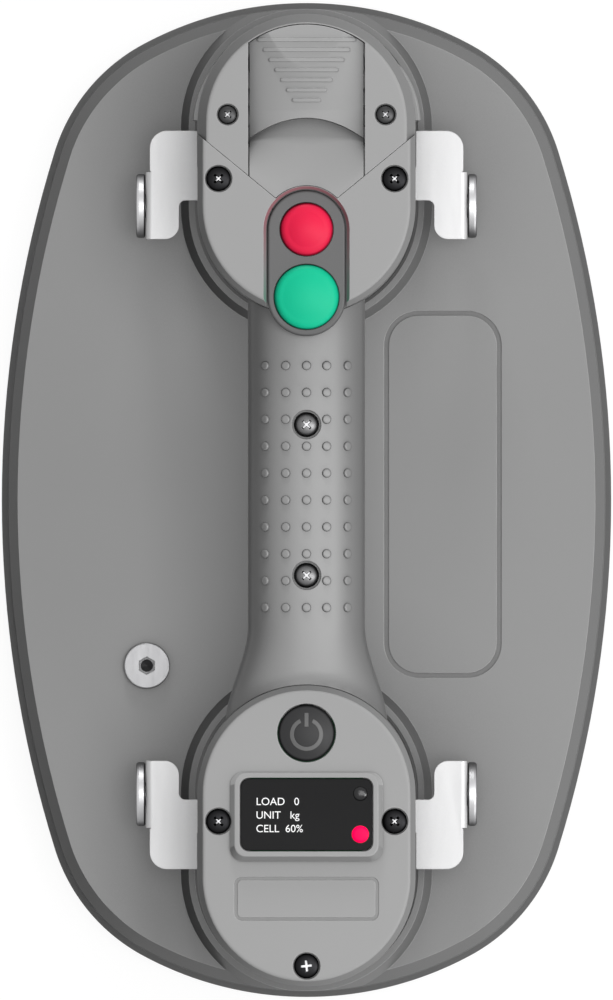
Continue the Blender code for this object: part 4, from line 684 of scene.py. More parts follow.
floor_z = housing_low.z + 0.003
outside, inside = oval(POD_RADIUS, -POD_CENTRE), oval(POD_RADIUS - POD_WALL, -POD_CENTRE)
rear_tub = skin("rear_pod_tub", [at(outside, housing_low.z), at(outside, housing_high.z),
                                 at(inside, housing_high.z), at(inside, floor_z)], pod_skin)
fit_posts(rear_tub, -1)
fit_tongue(rear_tub, -1)
carve(rear_tub, drum(filter_place, HOSE_HOLE, housing_low.z - 0.002, floor_z + 0.002, 32))
end_low, end_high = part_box("cover_screw")
end_spot = (0.0, (end_low.y + end_high.y) / 2)
carve(rear_tub, drum(end_spot, POST_RADIUS, housing_high.z - 0.020, housing_high.z, 32), "UNION")
carve(rear_tub, drum(end_spot, SHANK_HOLE, housing_high.z - 0.016, housing_high.z + 0.002, 20))
even_out(rear_tub)
settle(rear_tub, "lifter", "rear_housing")

dock_z = shell_high.z - GAP
front_tub = slab(oval(POD_RADIUS, POD_CENTRE), housing_low.z, housing_high.z, pod_skin, "front_pod_tub")
carve(front_tub, slab(seam_side(-0.00015, ARCH_RADIUS, True), dock_z, housing_high.z + 0.01))
hollow_room = slab(oval(POD_RADIUS - POD_WALL, POD_CENTRE), floor_z, housing_high.z + 0.01)
before_seam = seam_side(-0.0039, ARCH_RADIUS - 0.003, False)
carve(hollow_room, slab(before_seam, floor_z - 0.01, housing_high.z + 0.02), "INTERSECT")
carve(front_tub, hollow_room)
fit_posts(front_tub, 1)
fit_tongue(front_tub, 1)
rail_from, rail_to = RELEASE_Y + ARCH_RADIUS + 0.008, POD_CENTRE + POD_STRAIGHT + POD_RADIUS - 0.006
rail = brick((-RAIL_HALF, rail_from, dock_z - 0.001), (RAIL_HALF, rail_to, dock_z + 0.003))
carve(front_tub, rail, "UNION")
even_out(front_tub)
settle(front_tub, "lifter", "front_housing")


# The rear cover is a shallow cap screwed down on the rear pod. Its top is flat with a rounded chamfer, and
# it has a round hole for the power button, a wedge frame for the display and a bare framed name panel.
COVER_ROOF = 0.0028
COVER_CHAMFER = 0.0021
SCREW_HEAD = 0.0040
cover_low, cover_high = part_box("rear_cover")
POD_TOP = cover_high.z
COVER_LOW = cover_low.z


def cap(name, centre_y, chamfer, look):
    """A pod's cover: hollow below, chamfered above, with the chamfer's edges eased."""
    inner = POD_RADIUS - POD_WALL - 0.0003
    rings = [(inner, POD_TOP - COVER_ROOF), (inner, COVER_LOW), (POD_RADIUS, COVER_LOW),
             (POD_RADIUS, POD_TOP - 1.3 * chamfer - 0.0004), (POD_RADIUS - 0.00012, POD_TOP - 1.3 * chamfer),
             (POD_RADIUS - chamfer + 0.0004, POD_TOP - 0.00025), (POD_RADIUS - chamfer, POD_TOP - 0.00006),
             (POD_RADIUS - chamfer - 0.0005, POD_TOP)]
    return skin(name, [at(oval(radius, centre_y, 48), z) for radius, z in rings], look, edge_angle=30)


def seat_for_screw(target, spot, radius=SCREW_HEAD + GAP, depth=0.0026):
    """A counterbore with an eased lip and a clearance hole, in a pad under the cover's roof."""
    carve(target, drum(spot, POST_RADIUS, COVER_LOW + GAP, POD_TOP - COVER_ROOF + 0.001, 32), "UNION")
    carve(target, drum(spot, radius, POD_TOP - depth, POD_TOP + 0.002, 48))
    carve(target, drum(spot, SHANK_HOLE, COVER_LOW - 0.002, POD_TOP, 20))
    carve(target, drum(spot, radius, POD_TOP - 0.0002, POD_TOP + 0.0002, 48, radius + 0.0004))


rear_cap = cap("rear_pod_cover", -POD_CENTRE, COVER_CHAMFER, pod_skin)
power_low, power_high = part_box("power_button")
power_spot = (0.0, (power_low.y + power_high.y) / 2)
power_radius = power_high.x
button_hole = power_radius + GAP
carve(rear_cap, drum(power_spot, button_hole, COVER_LOW - 0.002, POD_TOP + 0.002, 72))
carve(rear_cap, drum(power_spot, button_hole, POD_TOP - 0.0002, POD_TOP + 0.0002, 72, power_radius + 0.0007))
BEZEL_HALF = 0.0229
BEZEL_Y = (-0.1133, -0.0867)
BEZEL_RISE = 0.0026


def inset_box(half, span, inset, corner):
    """A round-cornered outline about the middle, from half its width and its span along Y, drawn inwards."""
    return round_box(-half + inset, half - inset, span[0] + inset, span[1] - inset, corner)


carve(rear_cap, slab(inset_box(BEZEL_HALF, BEZEL_Y, 0.0008, 0.003), COVER_LOW - 0.002, POD_TOP + 0.002))
for sx in (-1, 1):
    seat_for_screw(rear_cap, (sx * CLAMP_X, -CLAMP_Y))
seat_for_screw(rear_cap, end_spot)
BADGE = (-0.0230, 0.0230, -0.1338, -0.1198)
BADGE_GROOVE = 0.0011
carve(rear_cap, framed(BADGE, 0.0025, BADGE_GROOVE, 0.0014, 8, POD_TOP - 0.0005, POD_TOP + 0.001))
even_out(rear_cap)
settle(rear_cap, "lifter", "rear_cover")


# The clamp screws and the cover screw are long black machine screws, sunk in their seats. A bright cross in
# each recess is a painted glint.
black_metal = metal_of("black_screw_head", (0.016, 0.016, 0.017), 0.34, scale=1400.0,
                       rim=(0.003, 0.003, 0.003))
glint_metal = metal_of("glint_metal", (0.55, 0.55, 0.56), 0.34, spread=0.25, scale=2500.0, bump=0.05)


def recess_glint(name, node, reach, width, lift, body="lifter", turn=45):
    """A painted glint: a bright cross seated inside a screw head's cross recess."""
    _, high, spot, _ = stands(node)
    made = cross_recess(spot, reach, width, high.z - 0.0022, high.z - 0.0011 + lift, turn)
    made.name = name
    made.data.materials.clear()
    made.data.materials.append(glint_metal)
    settle(made, body)


for end in ("front", "rear"):
    for side in ("left", "right"):
        dome_screw(f"clamp_{end}_{side}", f"clamp_screw_{end}_{side}", black_metal, 0.0010)
        recess_glint(f"clamp_recess_{end}_{side}", f"clamp_screw_{end}_{side}", 0.0010, 0.0005, 0.0005)
dome_screw("cover_end_screw", "cover_screw", black_metal, 0.0010, turn=6)
recess_glint("cover_end_recess", "cover_screw", 0.0024, 0.0012, 0.0006, turn=6)


# The power button is a dark rubber-coated cap, slightly domed, with the usual broken ring and bar moulded
# in a lighter shade and standing a hair proud of it.
POWER_DOME = 0.0010
POWER_SHOULDER = 0.0011
RING_OUT, RING_IN, RING_GAP = 0.0053, 0.0040, 24.0
BAR_HALF = 0.00065
MARK_RISE, MARK_SINK = 0.00012, 0.0004


def domed_cap(name, node, look, skirt_low, dome, shoulder):
    """A button cap with its stem: a straight skirt, a rounded shoulder and a shallow dome."""
    low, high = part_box(node)
    radius = (high.x - low.x) / 2
    spot = (0.0, (low.y + high.y) / 2)
    edge_z = high.z - dome
    outline = [(0.002, low.z), (0.002, skirt_low), (radius - 0.0002, skirt_low), (radius, skirt_low + 0.0002)]
    for i in range(7):
        angle = math.radians(15 * i)
        outline.append((radius - shoulder * (1 - math.cos(angle)), edge_z - shoulder * (1 - math.sin(angle))))
    flat = radius - shoulder
    for i in range(1, 13):
        share = 1 - i / 12.5
        outline.append((flat * share, edge_z + dome * (1 - share ** 2)))
    return lathe(name, spot, outline, look, 72, edge_angle=40)


power_skin = finish_of("dark_rubber_cap", (0.026, 0.026, 0.027), 0.46, mottle=0.08, scale=2400.0, bump=0.03,
                       edge=0.3, specular=0.25)
symbol_skin = finish_of("grey_symbol", (0.115, 0.115, 0.115), 0.5, mottle=0.05, scale=2400.0, edge=0.1)
power_cap = domed_cap("power_cap", "power_button", power_skin, POD_TOP - 0.0034, POWER_DOME, POWER_SHOULDER)
settle(power_cap, "power_button", "power_button")


def on_dome(x, y, lift):
    """Height of the power cap's dome at a place, plus a lift."""
    share = min(1.0, math.hypot(x, y - power_spot[1]) / (power_radius - POWER_SHOULDER))
    return power_high.z - POWER_DOME * share ** 2 + lift


def raised_mark(name, sides):
    """A thin raised mark that follows the dome, from the two sides of its flat outline."""
    bm = bmesh.new()
    tops = [[bm.verts.new((x, y, on_dome(x, y, MARK_RISE))) for x, y in side] for side in sides]
    feet = [[bm.verts.new((x, y, on_dome(x, y, -MARK_SINK))) for x, y in side] for side in sides]
    for i in range(len(sides[0]) - 1):
        bm.faces.new((tops[0][i], tops[0][i + 1], tops[1][i + 1], tops[1][i]))
        bm.faces.new((feet[0][i], feet[0][i + 1], feet[1][i + 1], feet[1][i]))
        for row in (0, 1):
            bm.faces.new((tops[row][i], tops[row][i + 1], feet[row][i + 1], feet[row][i]))
    for i in (0, -1):
        bm.faces.new((tops[0][i], tops[1][i], feet[1][i], feet[0][i]))
    settle(show(name, bm, [symbol_skin], 30), "power_button")


raised_mark("power_ring", [arc(power_spot[0], power_spot[1] - 0.0004, r, 90 + RING_GAP, 450 - RING_GAP, 48)
                           for r in (RING_OUT, RING_IN)])
bar_low, bar_high = power_spot[1] + 0.0020, power_spot[1] + 0.0064
raised_mark("power_bar", [[(x, bar_low + (bar_high - bar_low) * i / 6) for i in range(7)]
                          for x in (-BAR_HALF, BAR_HALF)])


# The display frame is a wedge that leans towards the user: low at the grip side and 2.6 mm high at the far
# side, with a skirt that flares onto the cover. The window is smoked acrylic over a lit segment screen.
WINDOW_HALF = 0.0213
WINDOW_Y = (-0.11175, -0.08825)
SCREW_NOTCH = 0.0043
sill = POD_TOP + GAP
bezel_length = BEZEL_Y[1] - BEZEL_Y[0]


def leaning(outline, low, rise):
    """An outline laid on a slope that rises towards the far side of the frame."""
    return [(x, y, low + rise * (BEZEL_Y[1] - y) / bezel_length) for x, y in outline]


neck = inset_box(BEZEL_HALF, BEZEL_Y, 0.0011, 0.0027)
skirt_foot = round_box(-BEZEL_HALF - 0.0014, BEZEL_HALF + 0.0014, BEZEL_Y[0] - 0.0016, BEZEL_Y[1] + 0.0002,
                       0.0042)
crest = round_box(-BEZEL_HALF, BEZEL_HALF, *BEZEL_Y, 0.0036)
crest_eased = inset_box(BEZEL_HALF, BEZEL_Y, 0.0003, 0.0033)
wedge = skin("display_frame", [
    at(neck, POD_TOP - COVER_ROOF), at(neck, sill), at(skirt_foot, sill),
    leaning(skirt_foot, sill + 0.0002, BEZEL_RISE * 0.35), leaning(crest, sill + 0.0004, BEZEL_RISE),
    leaning(crest_eased, sill + 0.0005, BEZEL_RISE),
], pod_skin, edge_angle=25)
carve(wedge, slab(round_box(-WINDOW_HALF, WINDOW_HALF, *WINDOW_Y, 0.003), COVER_LOW - 0.002, POD_TOP + 0.01))
for sx in (-1, 1):
    carve(wedge, drum((sx * CLAMP_X, -CLAMP_Y), SCREW_NOTCH, POD_TOP - 0.002, POD_TOP + 0.01, 48))
even_out(wedge)
settle(wedge, "lifter", "display_bezel")

SENSOR_SPOT = (0.0171, -0.0934)
SENSOR_DIMPLE = 0.0024
screen_glass, glass_tree, glass_shader = new_look("smoked_window")
glass_tone = tone_with_painted_light(glass_tree, (0.0115, 0.0115, 0.0120), (0.05, 0.05, 0.05), 0.3, 0.15)
glass_grain = add(glass_tree, "Group", {"Scale": 420.0, "Gloss": 0.20, "Gloss Spread": 0.10}, node_tree=grain)
feed(glass_tree, glass_shader, {"Base Color": glass_tone.outputs["Colour"], "Specular IOR Level": 0.04,
                                "Roughness": glass_grain.outputs["Roughness"]})
lamp_low, _, lamp_spot, lamp_radius = stands("status_lamp")
pane_edge = inset_box(WINDOW_HALF, WINDOW_Y, 0.0003, 0.0028)
pane = skin("display_pane", [
    at(pane_edge, POD_TOP - COVER_ROOF), leaning(pane_edge, sill - 0.00005, BEZEL_RISE),
    leaning(inset_box(WINDOW_HALF, WINDOW_Y, 0.0005, 0.0026), sill + 0.0001, BEZEL_RISE)], screen_glass)
carve(pane, drum(lamp_spot, lamp_radius + 0.0002, COVER_LOW, POD_TOP + 0.01, 48))
carve(pane, drum(SENSOR_SPOT, SENSOR_DIMPLE, sill + 0.0002, POD_TOP + 0.01, 40))
even_out(pane)
settle(pane, "lifter", "display_window")


# A light sensor sits in a round dimple of the window: a small dark lens with two faint facets. Below it
# the red status lamp is a moulded lens that stands a hair proud of the window.
def window_height(y):
    return sill + 0.0001 + BEZEL_RISE * (BEZEL_Y[1] - y) / bezel_length


lens_skin = finish_of("sensor_lens", (0.020, 0.020, 0.021), 0.16, mottle=0.3, scale=900.0, edge=0.2,
                      specular=0.3)
lens_top = window_height(SENSOR_SPOT[1])
lens = lathe("light_sensor", SENSOR_SPOT, [
    (0.0022, sill + 0.0001), (0.0023, lens_top - 0.0005), (0.0019, lens_top - 0.0002),
    (0.0010, lens_top - 0.00005), (0.0003, lens_top)], lens_skin, 40)
settle(lens, "lifter")


def glowing(name, colour, edge_colour, edge, mottle, glow_strength, gloss, specular):
    """A lit moulding or letter: its own colour, which also shines."""
    look, tree, shader = new_look(name)
    tone = tone_with_painted_light(tree, colour, edge_colour, edge, mottle).outputs["Colour"]
    feed(tree, shader, {"Base Color": tone, "Emission Color": tone, "Emission Strength": glow_strength,
                        "Roughness": gloss, "Specular IOR Level": specular})
    return look


lamp_skin = glowing("red_lamp", (1.0, 0.0, 0.075), (1.0, 0.05, 0.15), 0.1, 0.03, 0.62, 0.45, 0.1)
lamp_top = window_height(lamp_spot[1])
lamp_lens = lathe("status_lens", lamp_spot, [
    (lamp_radius, lamp_low.z), (lamp_radius, lamp_top - 0.0001), (lamp_radius - 0.0002, lamp_top + 0.00005),
    (lamp_radius * 0.6, lamp_top + 0.0002), (lamp_radius * 0.1, lamp_top + 0.00025)], lamp_skin, 48)
settle(lamp_lens, "lifter", "status_lamp")


# The screen shows three short lines: a reading, its unit and a charge level. They are plain lit letters
# that lie along the slope of the window.
READOUT = (("LOAD   0", -0.0970), ("UNIT   kg", -0.1013), ("CELL  60%", -0.1056))
READOUT_X = -0.0161
LETTER_SIZE = 0.0034
lit = glowing("lit_letters", (0.80, 0.80, 0.80), (0.60, 0.60, 0.60), 0.0, 0.08, 0.38, 0.6, 0.5)
lean = math.atan2(BEZEL_RISE, bezel_length)
for number, (words, y) in enumerate(READOUT, 1):
    drawn = bpy.data.curves.new(f"readout_{number}", "FONT")
    drawn.body = words
    drawn.size = LETTER_SIZE
    drawn.extrude = 0.00005
    line = bpy.data.objects.new(f"readout_line_{number}", drawn)
    line.rotation_euler = (-lean, 0, 0)
    line.location = (READOUT_X, y, window_height(y) + 0.00004)
    bpy.context.scene.collection.objects.link(line)
    bpy.context.view_layer.update()
    letters = bpy.data.meshes.new_from_object(line.evaluated_get(bpy.context.evaluated_depsgraph_get()))
    letters.transform(line.matrix_world)
    bpy.data.objects.remove(line, do_unlink=True)
    letters.materials.append(lit)
    shown = bpy.data.objects.new(f"readout_{number}", letters)
    bpy.context.scene.collection.objects.link(shown)
    settle(shown, "lifter")


# The front cover is the part of the oval cap before the V seam. A slot for the button tray opens towards
# the grip, with a bevel all round it, and a thin arch of the cover closes its far end.
BEVEL_DEPTH = 0.0011
tray_gap = TRAY_RADIUS + GAP
front_cap = cap("front_pod_cover", POD_CENTRE, COVER_CHAMFER, pod_skin)
kept_side = seam_side(-0.0001, ARCH_RADIUS - 0.0001, False)
carve(front_cap, slab(kept_side, COVER_LOW - 0.01, POD_TOP + 0.01), "INTERSECT")


def slot_outline(radius):
    return arc(0, RELEASE_Y, radius, 0, 180, 40) + [(-radius, 0.04), (radius, 0.04)]


carve(front_cap, slab(slot_outline(tray_gap), COVER_LOW - 0.002, POD_TOP + 0.002))
carve(front_cap, skin("slot_bevel", [at(slot_outline(tray_gap - 0.0001), POD_TOP - BEVEL_DEPTH),
                                     at(slot_outline(tray_gap + 0.0010), POD_TOP + 0.0001)]))
for sx in (-1, 1):
    seat_for_screw(front_cap, (sx * CLAMP_X, CLAMP_Y))
even_out(front_cap)
# The slot's bevel lies close to the buttons, and a faint green and a faint red are painted on it beside them
# as painted reflected light from the buttons.
bevel_skin = finish_of("slot_bevel_skin", (0.30, 0.30, 0.30), 0.38, mottle=0.03, scale=3200.0, specular=0.1)
bevel_tree = bevel_skin.node_tree
on_cover = add(bevel_tree, "TexCoord").outputs["Object"]
along = add(bevel_tree, "SeparateXYZ", {"Vector": on_cover}).outputs["Y"]
painted_button_bounce = add(bevel_tree, "ValToRGB", {"Fac": rescale(bevel_tree, along, 0.060, 0.090)})
painted_button_bounce.color_ramp.elements.new(0.45).color = (0.28, 0.28, 0.28, 1)
painted_button_bounce.color_ramp.elements[0].color = (0.12, 0.30, 0.22, 1)
painted_button_bounce.color_ramp.elements[2].color = (0.36, 0.17, 0.19, 1)
bevel_tone = [node for node in bevel_tree.nodes if node.type == "GROUP" and node.node_tree == light_and_wear][0]
feed(bevel_tree, bevel_tone, {"Colour": painted_button_bounce.outputs["Color"]})
front_cap.data.materials.append(bevel_skin)
for face in front_cap.data.polygons:
    near_slot = math.hypot(face.center.x, max(0.0, face.center.y - RELEASE_Y)) < tray_gap + 0.0012
    if near_slot and 0.2 < face.normal.z < 0.98 and face.center.z > POD_TOP - 0.0012:
        face.material_index = 1
settle(front_cap, "lifter", "front_cover")


# The button tray is a darker moulding that carries both buttons and reaches over the end of the grip. Its
# upper edge is rounded, and each button sits in a round well.
tray_low, tray_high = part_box("button_tray")
TRAY_TOP = tray_high.z
TRAY_EDGE = 0.0008
STEM_HOLE = 0.0023
tray_skin = finish_of("charcoal_moulding", (0.118, 0.118, 0.119), 0.42, mottle=0.05, scale=3000.0, bump=0.018,
                      edge=0.25, specular=0.35, slant=0.6)


def tray_ring(inset):
    radius = TRAY_RADIUS - inset
    return arc(0, RELEASE_Y, radius, 0, 180, 40) + arc(0, SUCTION_Y, radius, 180, 360, 40)


tray_rings = [at(tray_ring(0.0004), tray_low.z), at(tray_ring(0.0), tray_low.z + 0.0004)]
tray_rings += [at(tray_ring(TRAY_EDGE * (1 - math.cos(a))), TRAY_TOP - TRAY_EDGE * (1 - math.sin(a)))
               for a in QUARTER]
tray = skin("button_tray_moulding", tray_rings, tray_skin, edge_angle=30)
for node in ("release_button", "suction_button"):
    button_low, button_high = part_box(node)
    spot = (0.0, (button_low.y + button_high.y) / 2)
    carve(tray, drum(spot, button_high.x + 0.00015, tray_low.z + 0.0005, TRAY_TOP + 0.002, 72))
    carve(tray, drum(spot, STEM_HOLE, tray_low.z - 0.002, TRAY_TOP, 24))
even_out(tray)
settle(tray, "lifter", "button_tray")


# The two buttons are soft silicone caps, red to release and green for suction, each with a rolled shoulder
# and a low dome. Silicone scatters a little light, so the colour is deep; the edges are painted a little
# darker as shade.
def silicone(name, colour, edge_colour):
    look, tree, shader = new_look(name)
    tone = tone_with_painted_light(tree, colour, edge_colour, 0.1, 0.03)
    texture = add(tree, "Group", {"Scale": 1800.0, "Gloss": 0.52}, node_tree=grain)
    feed(tree, shader, {"Base Color": tone.outputs["Colour"], "Specular IOR Level": 0.2,
                        "Subsurface Weight": 0.12, "Subsurface Radius": (0.004, 0.002, 0.002),
                        "Subsurface Scale": 0.3})
    texture_over(tree, shader, tone, texture, 0.02)
    return look


red_silicone = silicone("red_silicone", (1.0, 0.020, 0.085), (0.60, 0.01, 0.03))
green_silicone = silicone("green_silicone", (0.008, 0.66, 0.37), (0.01, 0.30, 0.18))
for node, look, slot in (("release_button", red_silicone, "red_rubber"),
                         ("suction_button", green_silicone, "green_rubber")):
    made = domed_cap(node.replace("button", "cap"), node, look, tray_low.z + 0.0022, 0.0012, 0.0026)
    settle(made, node, node)


# The battery pack's case fills the far side of the front pod, from the dock to under its lid. The V wall
# mates with the pod, and a slot in each flank takes a side latch.
CHANNEL_HALF = 0.0181
PACK_CHAMFER = 0.0032
PACK_ARC_Y = POD_CENTRE + POD_STRAIGHT
PACK_WALL = 0.0024
LATCH_START = 2.0
LATCH_SWEEP = 33.0
LATCH_DEPTH = 0.0021
LID_SCREW = (0.0251, 0.1226)
BOSS_HALF = 0.0034
case_low, case_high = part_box("battery_case")
latch_low, latch_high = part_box("battery_latch_right")
cell_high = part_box("battery_cell_1")[1]


def pack_area(low, high):
    return slab(seam_side(0.0001, ARCH_RADIUS + 0.0001, True), low, high)


pack_case = slab(oval(POD_RADIUS, POD_CENTRE, 48), case_low.z, case_high.z, pod_skin, "battery_pack_case")
carve(pack_case, pack_area(case_low.z - 0.01, case_high.z + 0.01), "INTERSECT")
bay_floor = case_low.z + 0.006
bay = slab(oval(POD_RADIUS - PACK_WALL, POD_CENTRE), bay_floor, case_high.z + 0.01)
behind_seam = seam_side(PACK_WALL * 1.3 + GAP, ARCH_RADIUS + GAP + PACK_WALL, True)
carve(bay, slab(behind_seam, bay_floor - 0.01, case_high.z + 0.02), "INTERSECT")
carve(pack_case, bay)
carve(pack_case, brick((-RAIL_HALF - 0.0005, 0.05, case_low.z - 0.01),
                       (RAIL_HALF + 0.0005, rail_to + 0.0005, dock_z + 0.0035)))
for sx in (-1, 1):
    across = sorted((sx * (LID_SCREW[0] - 0.0036), sx * (POD_RADIUS - 0.001)))
    carve(pack_case, brick((across[0], LID_SCREW[1] - BOSS_HALF, cell_high.z + GAP),
                           (across[1], LID_SCREW[1] + BOSS_HALF, case_high.z)), "UNION")
    carve(pack_case, drum((sx * LID_SCREW[0], LID_SCREW[1]), 0.0017, cell_high.z, case_high.z + 0.002, 20))
    end_y = POD_RADIUS * math.sin(math.radians(LATCH_START + LATCH_SWEEP)) + GAP
    sides = []
    for radius in (POD_RADIUS + 0.004, POD_RADIUS - 0.006):
        first, last = math.radians(LATCH_START - 0.7), math.asin(end_y / radius)
        turns = [first + (last - first) * i / 24 for i in range(25)]
        sides.append([(sx * radius * math.cos(t), PACK_ARC_Y + radius * math.sin(t)) for t in turns])
    carve(pack_case, slab(sides[0] + list(reversed(sides[1])), latch_low.z - GAP, latch_high.z + GAP))
even_out(pack_case)
settle(pack_case, "battery_pack", "battery_case")


# Each side latch is a spring-loaded crescent that follows the pack's wall and tapers out. Pressing both
# frees the pack. Five fine grooves across it give the finger a hold.
def crescent(inset):
    """The latch's plan: proud in the middle of the hand's reach and tapering to nothing."""
    outer, inner = [], []
    for i in range(33):
        t = i / 32
        angle = math.radians(LATCH_START + LATCH_SWEEP * t)
        proud = 0.0017 * math.sqrt(max(0.0, 1 - t ** 2)) - 0.0003 * t - inset
        for side, radius in ((outer, POD_RADIUS + proud), (inner, POD_RADIUS - LATCH_DEPTH)):
            side.append((radius * math.cos(angle), radius * math.sin(angle)))
    return outer + list(reversed(inner))


latch_skin = finish_of("latch_moulding", (0.44, 0.44, 0.44), 0.40, mottle=0.04, scale=3000.0, edge=1.2,
                       specular=0.2, slant=0.6)
LATCH_GROOVE = 0.0003
GROOVE_PITCH = 0.0026
levels = [(latch_low.z, 0.0005), (latch_low.z + 0.0005, 0.0)]
for i in range(5):
    z = (latch_low.z + latch_high.z) / 2 + (i - 2) * GROOVE_PITCH
    levels += [(z - 0.0006, 0.0), (z - 0.0003, LATCH_GROOVE), (z + 0.0003, LATCH_GROOVE), (z + 0.0006, 0.0)]
levels += [(latch_high.z - 0.0005, 0.0), (latch_high.z, 0.0005)]
for sx, side in ((-1, "left"), (1, "right")):
    rings = [[(sx * x, PACK_ARC_Y + y, z) for x, y in crescent(inset)] for z, inset in levels]
    latch = skin("side_latch_" + side, rings, latch_skin, edge_angle=28)
    even_out(latch)
    settle(latch, "latch_" + side, "battery_latch_" + side)


# The pack's lid closes the case with two domed steel screws. Its chamfer is wider than the
# cover's, and it has a channel down the middle for the grip insert.
channel_side = CHANNEL_HALF + 0.0005
channel_arc = POD_RADIUS - PACK_CHAMFER
channel_turn = math.degrees(math.acos(channel_side / channel_arc))
lid = cap("battery_pack_lid", POD_CENTRE, PACK_CHAMFER, pod_skin)
carve(lid, pack_area(COVER_LOW - 0.01, POD_TOP + 0.01), "INTERSECT")
channel = arc(0, PACK_ARC_Y, channel_arc, channel_turn, 180 - channel_turn, 48)
channel += [(-channel_side, 0.06), (channel_side, 0.06)]
carve(lid, slab(channel, COVER_LOW + 0.0012, POD_TOP + 0.01))
for sx in (-1, 1):
    seat_for_screw(lid, (sx * LID_SCREW[0], LID_SCREW[1]), 0.0034, 0.0020)
even_out(lid)
settle(lid, "battery_pack", "battery_lid")
lid_steel = metal_of("satin_screw_steel", (0.055, 0.055, 0.056), 0.34, spread=0.2, scale=1400.0,
                     rim=(0.008, 0.008, 0.008))
for side in ("left", "right"):
    dome_screw("lid_screw_head_" + side, "lid_screw_" + side, lid_steel, 0.0012, "battery_pack")
    recess_glint("lid_recess_" + side, "lid_screw_" + side, 0.0011, 0.0006, 0.0002, "battery_pack")


# The grip insert is the face that the thumb and finger use: a crowned pad that slopes down to an arched
# edge, with seven raised ribs that shorten towards it, and a scoop for the fingertip before the edge.
SCOOP_FAR_Y = 0.1216
ARCH_SAG = 0.0064
SCOOP_DEPTH = 0.0058
ARCH_LIP = (0.0008, 0.0012)
PAD_CROWN = 0.0036
PAD_DROP = 0.0044
PAD_HEAD = 0.0020
RIB_COUNT = 7
RIB_PITCH = 0.0032
RIB_FIRST = (0.1464, 0.0158)
RIB_STEP_HALF = 0.00186
RIB_HALF = 0.00062
RIB_RISE = 0.00036
RIBBED_FROM, RIBBED_TO, FINE_STEP = 0.1240, 0.1484, 0.00016
BRIM = 0.00025
COLUMNS = 150
SCOOP_ROWS = 26
END_ROWS = 4
insert_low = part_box("pack_grip")[0]
pad_far = PACK_ARC_Y + channel_arc


def insert_from(x):
    """Where the insert begins: the V seam, or the arch of the button tray in the middle."""
    reach = ARCH_RADIUS + 0.0001
    edge = seam_y(x, 0.0001)
    return max(edge, RELEASE_Y + math.sqrt(reach ** 2 - x ** 2)) if abs(x) < reach else edge


def arch_y(x):
    return SCOOP_FAR_Y - ARCH_SAG * (x / CHANNEL_HALF) ** 2


def pad_z(x, y):
    along = (y - arch_y(x)) / (pad_far - arch_y(x))
    smooth = POD_TOP + PAD_HEAD - PAD_DROP * (1 - along) - PAD_CROWN * (x / CHANNEL_HALF) ** 2
    lip = ARCH_LIP[0] * max(0.0, 1 - (y - arch_y(x)) / ARCH_LIP[1]) * (1 + (x / CHANNEL_HALF) ** 2)
    return min(POD_TOP, smooth + lip)


def rib_rise(x, y):
    """Height of the ribs: rounded bars with short soft flanks."""
    rise = 0.0
    for i in range(RIB_COUNT):
        middle, half = RIB_FIRST[0] - i * RIB_PITCH, RIB_FIRST[1] - i * RIB_STEP_HALF - RIB_HALF
        away = math.hypot(max(0.0, abs(x) - half), y - middle)
        rise = max(rise, min(1.0, max(0.0, (RIB_HALF + 0.00008 - away) / 0.00022)))
    return RIB_RISE * rise * rise * (3 - 2 * rise)


def scoop_point(x, start, arch, j):
    """A place in the finger scoop, which deepens from the seam's brink down to the arch."""
    y = start + (arch - BRIM - start) * j / SCOOP_ROWS
    brink = seam_y(math.hypot(x, 0.005))
    return x, y, POD_TOP - 0.0001 - SCOOP_DEPTH * max(0.0, (y - brink) / (arch - BRIM - brink)) ** 2


def pad_point(x, arch, stop, k):
    """A place on the ribbed pad: two rows at the arch, a fine stretch over the ribs and a plain end."""
    if k < 2:
        y = arch + 0.0002 * k
    elif k < 2 + len(rib_rows):
        y = max(arch + 0.0003, rib_rows[k - 2])
    else:
        y = RIBBED_TO + (stop - RIBBED_TO) * (k - 1 - len(rib_rows)) / END_ROWS if stop > RIBBED_TO else stop
    y = min(y, stop - 0.00001 * (len(rib_rows) + END_ROWS + 1 - k))
    return x, y, pad_z(x, y) + rib_rise(x, y) - (0.00012 if k == 0 else 0.0)


rib_rows = [RIBBED_FROM + FINE_STEP * i for i in range(int((RIBBED_TO - RIBBED_FROM) / FINE_STEP))]
bm = bmesh.new()
grid = [[] for j in range(SCOOP_ROWS + 3 + len(rib_rows) + END_ROWS)]
for i in range(COLUMNS + 1):
    x = -CHANNEL_HALF + 2 * CHANNEL_HALF * i / COLUMNS
    start, arch = insert_from(x), arch_y(x)
    stop = PACK_ARC_Y + math.sqrt((channel_arc - 0.0003) ** 2 - x ** 2)
    for j, row in enumerate(grid):
        if j <= SCOOP_ROWS:
            row.append(scoop_point(x, start, arch, j))
        else:
            row.append(pad_point(x, arch, stop, j - SCOOP_ROWS - 1))
grid = [[bm.verts.new(place) for place in row] for row in grid]
for low, high in zip(grid, grid[1:]):
    for i in range(COLUMNS):
        bm.faces.new((low[i], low[i + 1], high[i + 1], high[i]))
rim = grid[0] + [row[-1] for row in grid[1:]] + list(reversed(grid[-1][:-1]))
rim += [row[0] for row in reversed(grid[1:-1])]
foot = [bm.verts.new((v.co.x, v.co.y, insert_low.z)) for v in rim]
for i in range(len(rim)):
    after = (i + 1) % len(rim)
    bm.faces.new((rim[i], rim[after], foot[after], foot[i]))
bm.faces.new(foot)
insert = show("ribbed_grip_insert", bm, [pod_skin], 40)
settle(insert, "battery_pack", "pack_grip")


